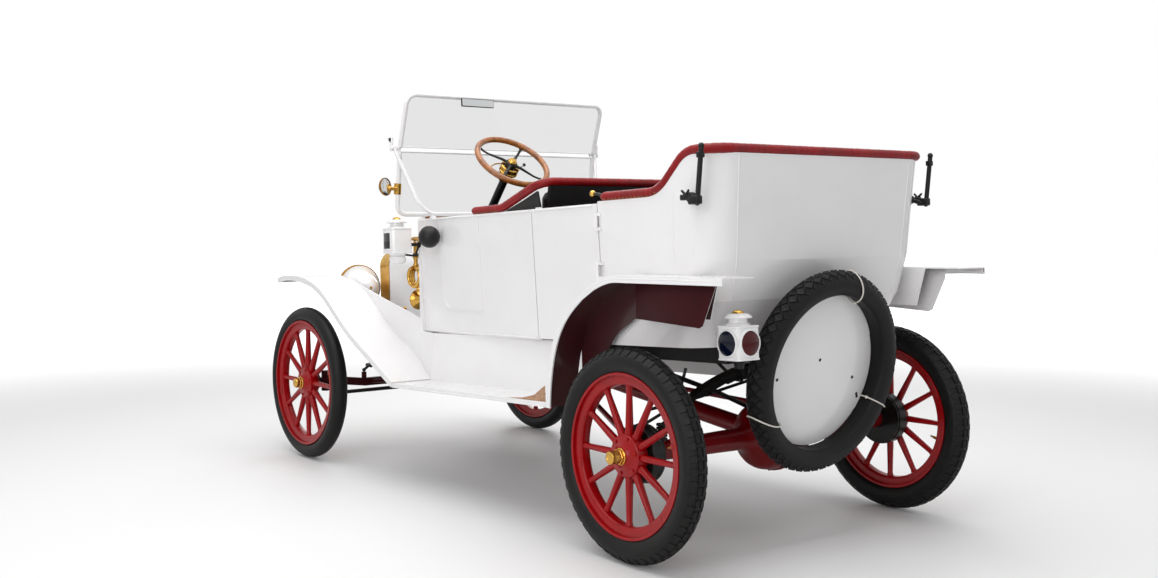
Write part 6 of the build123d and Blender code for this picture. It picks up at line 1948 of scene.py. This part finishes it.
@dataclass
class Fenders:
    """Rolled edges of the fenders and the edges of the running boards."""

    outer: float = 705.0
    lip: float = 26.0
    board_top: float = 478.0
    gusset_x: float = 620.0

    def build(self) -> None:
        """Makes the edge wires and board trim."""
        board_rear = REAR_AXLE_Y - 506.0
        rear = smooth_line([(board_rear - 4, 458), (REAR_AXLE_Y - 480, 637),
                            (REAR_AXLE_Y - 413, 779), (REAR_AXLE_Y - 295, 884),
                            (REAR_AXLE_Y - 182, 940), (REAR_AXLE_Y - 75, 960)], (0.08, 1), (1, 0))
        rear += [Vector((REAR_AXLE_Y - 75 + 548 * k / 12, 960 - 13 * k / 12)) for k in range(1, 13)]
        front = smooth_line([(FRONT_AXLE_Y - 362, 962), (FRONT_AXLE_Y - 180, 974),
                             (FRONT_AXLE_Y, 949), (FRONT_AXLE_Y + 134, 899),
                             (FRONT_AXLE_Y + 292, 791), (FRONT_AXLE_Y + 443, 689),
                             (FRONT_AXLE_Y + 638, 588), (FRONT_AXLE_Y + 839, self.board_top + 4)],
                            (1, 0.25), (1, -0.5))
        self._edges("rear_fender_edges", rear, "rear_fenders")
        self._edges("front_fender_edges", front, "front_fenders")
        self._gussets()
        self._boards()

    def _edges(self, name: str, line: list[Vector], node: str) -> None:
        """Wire edge at the foot of each lip and a raised line above it."""
        shape = Shape(name, WHITE)
        for side in (1, -1):
            for drop, radius, inset in ((self.lip - 3.5, 4.2, 3.2), (self.lip - 15.0, 2.6, 1.6)):
                path = []
                for i, spot in enumerate(line):
                    along = (line[min(i + 1, len(line) - 1)] - line[max(i - 1, 0)]).normalized()
                    place = spot + Vector((along.y, -along.x)) * drop
                    path.append((side * (self.outer - inset), place.x, place.y))
                shape.tube(path, radius, 10)
            self._end_lip(shape, side, node)
        shape.piece("car")

    def _end_lip(self, shape: Shape, side: int, node: str) -> None:
        """Turned-down lip at the free end of a fender, slanted at the rear."""
        corner = side * (self.outer - 0.5)
        if node == "rear_fenders":
            inner, z = side * self.gusset_x, 944.0
            y, inner_y = REAR_AXLE_Y + 469.0, REAR_AXLE_Y + 352.0
        else:
            inner, z = side * 462.0, 959.0
            y = inner_y = FRONT_AXLE_Y - 360.0
        for k in range(4):
            shape.rod((corner, y, z - 5.6 * k), (inner, inner_y, z - 5.6 * k), 3.4, 10)

    def _gussets(self) -> None:
        """Upright plates under the rear fenders' ends, dark outside and white inside."""
        line = [(REAR_AXLE_Y + y, z) for y, z in ((-60, 953), (352, 943), (350, 908), (286, 784),
                                                  (268, 776), (-60, 802))]
        shape = Shape("fender_gussets", MAROON)
        for side in (1, -1):
            for finish, shift in ((MAROON, 1.5), (WHITE, 0.0)):
                shape.use(finish)
                start = side * (self.gusset_x - 1.5 + shift) - (1.5 if side < 0 else 0.0)
                shape.prism(line, axes_at((start, 0, 0), (1, 0, 0), (0, 1, 0)), 1.5, 0.3)
        shape.piece("car")

    def _boards(self) -> None:
        """Edges of the boards, the apron's front plates and brown upright plates whose colour is a
        painted reflection at the boards' rear corners.
        """
        front, back = FRONT_AXLE_Y + 838.0, REAR_AXLE_Y - 506.0
        trim = Shape("board_trim", WHITE)
        for side in (1, -1):
            for z, radius in ((self.board_top - 4.0, 3.0), (self.board_top - 15.0, 3.6)):
                trim.rod((side * (self.outer - 2.2), front + 4, z),
                         (side * (self.outer - 2.2), back - 6, z), radius, 10)
        trim.piece("car")
        plate = Shape("apron_plates", WHITE)
        for side in (1, -1):
            outside = [[(side * (x + shift), y, z) for x, y,
                        z in ((466, -604, 701), (466, -604, 558), (484, -536, 517),
                              (497, -464, 483), (472, -464, 692))] for shift in (0.0, -4.0)]
            plate.loft(outside)
        plate.piece("car")
        # Brown plates at the rear corners of the boards: painted reflection on the glossy white
        # boards.
        reflection_plate = Shape("board_gussets", BOARD_PAINTED_REFLECTION)
        line = [(452.0, self.board_top), (560.0, self.board_top + 6), (640.0, self.board_top + 22),
                (712.0, self.board_top + 62), (712.0, self.board_top)]
        for side in (1, -1):
            reflection_plate.prism(line, axes_at((side * 697.0 - 1.5, 0, 0), (1, 0, 0), (0, 1, 0)), 3.0, 0.6)
        reflection_plate.piece("car")


@dataclass
class Coachwork:
    """Mouldings, handles, hood fittings, radiator core, floor and pedals."""

    radiator_y: float = FRONT_AXLE_Y - 56.0

    def build(self) -> None:
        """Makes the smaller fittings of the body."""
        self._mouldings()
        self._seams()
        self._irons()
        self._door_fittings()
        self._hood()
        self._radiator()
        self._inside()
        self._crank()

    @staticmethod
    def _mould(name: str, spots: Sequence[tuple[float, float]], sides: Sequence[int], body: str,
               radius: float = 5.0) -> None:
        """Half-round moulding along the outside of the body.

        Args:
            name: Name of the piece.
            spots: Places as (distance along the car, height).
            sides: 1 for the left side, -1 for the right.
            body: CAD body that it moves with.
            radius: Radius of the moulding.
        """
        shape = Shape(name, WHITE)
        for side in sides:
            line = divided([Vector((side * (BODY.half_width(y, z) + 0.8), y, z)) for y,
                            z in spots], 40)
            shape.tube(line, radius, 12)
        shape.piece(body)

    def _mouldings(self) -> None:
        """Mouldings under the body's top edge, split where the doors part."""
        z = BODY_TOP - 6
        self._mould("edge_front_left", [(BODY_FRONT_Y + 3, z), (SEAM_Y - 2, z)], [1], "car")
        self._mould("edge_front_right", [(BODY_FRONT_Y + 3, z), (BODY_FRONT_Y + 180, z)], [-1],
                    "car")
        self._mould("edge_middle_right", [(BODY_FRONT_Y + 560, z), (SEAM_Y - 2, z)], [-1], "car")
        self._mould("edge_door_left", [(SEAM_Y + 8, z), (PILLAR_Y - 34, z)], [1], "door_rl")
        self._mould("edge_door_right", [(SEAM_Y + 8, z), (PILLAR_Y - 34, z)], [-1], "door_rr")
        self._mould("edge_door_front", [(BODY_FRONT_Y + 230, z), (BODY_FRONT_Y + 542, z)], [-1],
                    "door_fr")
        self._mould("sill_front", [(BODY_FRONT_Y + 3, 702), (SEAM_Y - 2, 702)], [1, -1], "car", 4.0)

    @staticmethod
    def _seams() -> None:
        """Thin welted seams down the tub's corners and sides."""
        levels = ((860.0, 548.0, 236.0), (1000.0, 560.0, 276.0), (1366.0, 577.4, 319.6))
        shape = Shape("tub_seams", WHITE)
        for side in (1, -1):
            shape.tube([(side * (half - 118.0), REAR_AXLE_Y + back + 0.2, z) for z, half,
                        back in levels], 2.2, 8)
            shape.tube([(side * (BODY.half_width(y, z) + 0.2), y, z) for y,
                        z in ((1314.0, 1004.0), (1330.0, 1250.0))], 1.6, 8)
        shape.piece("car")

    @staticmethod
    def _irons() -> None:
        """Knobs, clamps and wing nuts of the folded top's irons."""
        shape = Shape("iron_clamps", BLACK_IRON)
        for side in (1, -1):
            x = side * 617.0
            shape.ball((x, REAR_AXLE_Y + 299.0, 1392), 11, 16)
            shape.block((x - 12, REAR_AXLE_Y + 284, 1352), (x + 12, REAR_AXLE_Y + 304, 1372), 3)
            shape.block((x - 15, REAR_AXLE_Y + 236, 1196), (x + 13, REAR_AXLE_Y + 284, 1226), 5, 3)
            shape.block((x - 10, REAR_AXLE_Y + 196, 1212), (x + 12, REAR_AXLE_Y + 246, 1232), 4, 3)
            for tilt in (-18.0, 18.0):
                shape.tube([(x + side * 8, REAR_AXLE_Y + 226, 1228),
                            (x + side * 12, REAR_AXLE_Y + 226 + tilt, 1246)], [6, 4], 10)
            shape.lathe([(0, 0), (18, 0), (18, 6), (12, 8), (0, 8)],
                        axes_at((x - side * 24, REAR_AXLE_Y + 214, 1222), (side, 0, 0)), 20)
        shape.piece("car")

    @staticmethod
    def _door_fittings() -> None:
        """Latch knobs before the rear rolls, and the front door's handle."""
        knobs = Shape("latch_knobs", BLACK_IRON)
        for side in (1, -1):
            knobs.use(BLACK_IRON)
            knobs.tube([(side * 541, 900, 1258), (side * 537, 872, 1266), (side * 535, 846, 1269)],
                       [8, 6, 5], 12)
            knobs.use(BRASS)
            knobs.ball((side * 535, 834, 1271), 12.5)
        knobs.piece("car")
        y = BODY_FRONT_Y + 500.0
        x = -(BODY.half_width(y, 1150) + 2)
        shape = Shape("front_door_handle", BRASS)
        shape.lathe([(0, 0), (17, 0), (17, 3), (9, 5), (7, 22), (0, 22)],
                    axes_at((x + 2, y, 1150), (-1, 0, 0)), 24)
        shape.tube([(x - 20, y, 1150), (x - 24, y - 30, 1149), (x - 22, y - 64, 1146)], [7, 6, 5],
                   14)
        shape.ball((x - 22, y - 66, 1146), 6.4, 14)
        shape.piece("door_fr")

    @staticmethod
    def _hood() -> None:
        """Lift handles and the line of hinge knuckles."""
        for side, body, word in ((1, "hood_left", "left"), (-1, "hood_right", "right")):
            shape = Shape("hood_handle_" + word, BRASS)
            for y in (FRONT_AXLE_Y + 170.0, FRONT_AXLE_Y + 560.0):
                x = side * 258.0
                loop = [(x, y - 34, 790), (x + side * 16, y - 32, 790), (x + side * 18, y, 790),
                        (x + side * 16, y + 32, 790), (x, y + 34, 790)]
                shape.tube(rounded(loop, [7, 5, 7]), 4.2, 12)
                for foot in (y - 34, y + 34):
                    shape.lathe([(0, 0), (10, 0), (9, 3), (0, 4)],
                                axes_at((x, foot, 790), (side, 0, 0)), 18)
            shape.piece(body)
        knuckle = Shape("hood_hinge_knuckles", BRASS)
        knuckle.lathe([(0, 0), (5, 0), (5, 26), (0, 26)],
                      axes_at((0, FRONT_AXLE_Y + 60.0, 1117), (0, 1, 0)), 12)
        row_piece(knuckle, 19, (0, 32.0, 0), "car")

    def _radiator(self) -> None:
        """Core of tubes and fins in the brass shell, and the filler cap."""
        y = self.radiator_y
        back = Shape("core_back", BLACK_IRON)
        back.block((-214, y + 11.5, 744), (214, y + 13.6, 978), 0.0)
        back.piece("car")
        fin = Shape("core_fins", BLACK_IRON)
        fin.block((-214, y + 3, 744), (214, y + 11, 745.1), 0.0)
        row_piece(fin, 58, (0, 0, 4.06), "car")
        tube = Shape("core_tubes", OLD_BRASS)
        tube.block((-210, y + 5, 742), (-205.5, y + 12, 980), 0.0)
        row_piece(tube, 33, (13.0, 0, 0), "car")
        cap = Shape("filler_cap", BRASS)
        at = Matrix.Translation((0, y + 48, 1114))
        cap.lathe([(0, 10), (37, 10), (38, 14), (36, 18), (30, 20), (29, 26), (24, 31), (10, 34),
                   (0, 34.5)], at, 48)
        for angle in (0.0, math.pi):
            ear = at @ Matrix.Rotation(angle, 4, "Z")
            cap.tube([ear @ Vector(p) for p in ((24, 0, 24), (40, 0, 25), (52, 0, 24))], [6, 5, 4],
                     12)
        cap.piece("car")

    @staticmethod
    def _inside() -> None:
        """Ribbed floor mat, three pedals and the hand lever."""
        rib = Shape("floor_mat_ribs", RUBBER)
        rib.block((-380, BODY_FRONT_Y + 60, 714.2), (-374, -40, 717.5), 1.0, 1)
        row_piece(rib, 64, (12, 0, 0), "car")
        shape = Shape("pedals", BLACK_IRON)
        for x in (180.0, 250.0, 330.0):
            y = BODY_FRONT_Y + 110.0
            shape.tube([(x, y - 10, 714.5), (x, y + 10, 790), (x, y - 6, 842)], [7, 6, 6], 12)
            shape.block((x - 24, y - 12, 838), (x + 24, y - 4, 888), 4, 3)
        shape.use(STEEL)
        lever = [(410, BODY_FRONT_Y + 170, 714.5), (412, BODY_FRONT_Y + 200, 900),
                 (404, BODY_FRONT_Y + 260, 1100)]
        shape.tube(lever, [10, 8, 7], 14)
        shape.use(RUBBER)
        shape.ball((404, BODY_FRONT_Y + 263, 1110), 16)
        shape.piece("car")

    @staticmethod
    def _crank() -> None:
        """Starting handle below the radiator."""
        y = FRONT_AXLE_Y - 70.0
        shape = Shape("starting_handle", STEEL)
        shape.rod((0, FRONT_AXLE_Y + 96.0, 610), (0, y, 610), 9, 16)
        shape.tube(rounded([(0, y, 610), (0, y - 24, 610), (0, y - 24, 470), (0, y - 88, 470)],
                           [14, 12]), 8, 14)
        shape.use(WOOD)
        shape.lathe([(0, 0), (12, 0), (15, 30), (13, 62), (8, 66), (0, 66)],
                    axes_at((0, y - 34, 470), (0, -1, 0)), 24)
        shape.piece("car")


@dataclass
class Running:
    """Clips, bolts and rods of springs and axles."""

    rear_half: float = 560.0
    front_half: float = 395.0

    def build(self) -> None:
        """Makes the small iron parts."""
        self._clips()
        self._rods()
        self._axle_parts()

    def _clips(self) -> None:
        """Straps round the leaves."""
        shape = Shape("spring_clips", BLACK_IRON, FLAT)
        for y, half, seat, low in ((REAR_AXLE_Y, self.rear_half - 30, 664.0, 497.0),
                                   (FRONT_AXLE_Y, self.front_half - 30, 560.0, 445.0)):
            drop = seat - low
            for side in (1, -1):
                for share in (0.35, 0.68):
                    x = side * half * share
                    z = seat - drop * share**2
                    stack = 7 * 7 * (1 - share)
                    shape.block((x - 9, y - 26, z - stack - 12), (x + 9, y + 26, z + 4), 2)
        shape.piece("car")

    @staticmethod
    def _rods() -> None:
        """Black brake rods and truss rods between frame and axle."""
        shape = Shape("truss_rods", BLACK_IRON, FLAT)
        y = REAR_AXLE_Y - 46.0
        for side in (1, -1):
            shape.tube([(side * 470, y, 640), (side * 250, y + 6, 560), (side * 40, y + 4, 470)],
                       9, 12)
            shape.tube([(side * 560, y - 20, 520), (side * 330, y - 10, 545),
                        (side * 60, y - 4, 590)], 6, 10)
            shape.tube([(side * 600, y - 8, 470), (side * 470, y - 4, 520),
                        (side * 420, y - 4, 600), (side * 400, y - 2, 660)], 6, 10)
            for k in range(5):
                shape.lathe([(0, 0), (20, 0), (21, 4), (20, 8), (0, 8)],
                            Matrix.Translation((side * 560, REAR_AXLE_Y, 418 + 13 * k)), 20)
        shape.piece("car")

    @staticmethod
    def _axle_parts() -> None:
        """Ring of bolts round the differential, its filler plug and grease cups."""
        at = axes_at((0, REAR_AXLE_Y, WHEEL_RADIUS), (1, 0, 0), (0, 1, 0))
        bolt = Shape("differential_bolts", AXLE_RED)
        bolt.lathe([(0, -16), (8, -16), (8, 16), (0, 16)], Matrix.Translation((132, 0, 0)), 6)
        ring_piece(bolt, 12, at, "car")
        shape = Shape("differential_seam", AXLE_RED, FLAT)
        shape.lathe([(128, -8), (138, -8), (138, 8), (128, 8)], at, 64, loop=True)
        shape.use(BRASS)
        shape.lathe([(0, 0), (14, 0), (14, 10), (9, 12), (0, 12)],
                    axes_at((40, REAR_AXLE_Y + 128, WHEEL_RADIUS + 10), (0.2, 1, 0)), 6)
        for side in (1, -1):
            shape.lathe([(0, 0), (9, 0), (9, 14), (6, 20), (0, 21)],
                        Matrix.Translation((side * 600, REAR_AXLE_Y, WHEEL_RADIUS + 34)), 16)
        shape.piece("car")


def main() -> None:
    """Builds the studio and the car, one sub-assembly after another."""
    Studio().build()
    NodeFinishes().build()
    for side, word, letter in ((1, "left", "l"), (-1, "right", "r")):
        RoadWheel(side, FRONT_AXLE_Y, 69.0, 39.5, 78.0, "front_" + word, "wheel_f" + letter).build()
        RoadWheel(side, REAR_AXLE_Y, 90.0, 46.0, 94.0, "rear_" + word, "wheel_r" + letter,
                  driven=True).build()
    for assembly in (Spare(), Fenders(), Running(), Coachwork(), Lighting(), Horn(), Steering(),
                     Windshield(), Upholstery()):
        log.info("building %s", type(assembly).__name__)
        assembly.build()


if __name__ == "__main__":
    main()
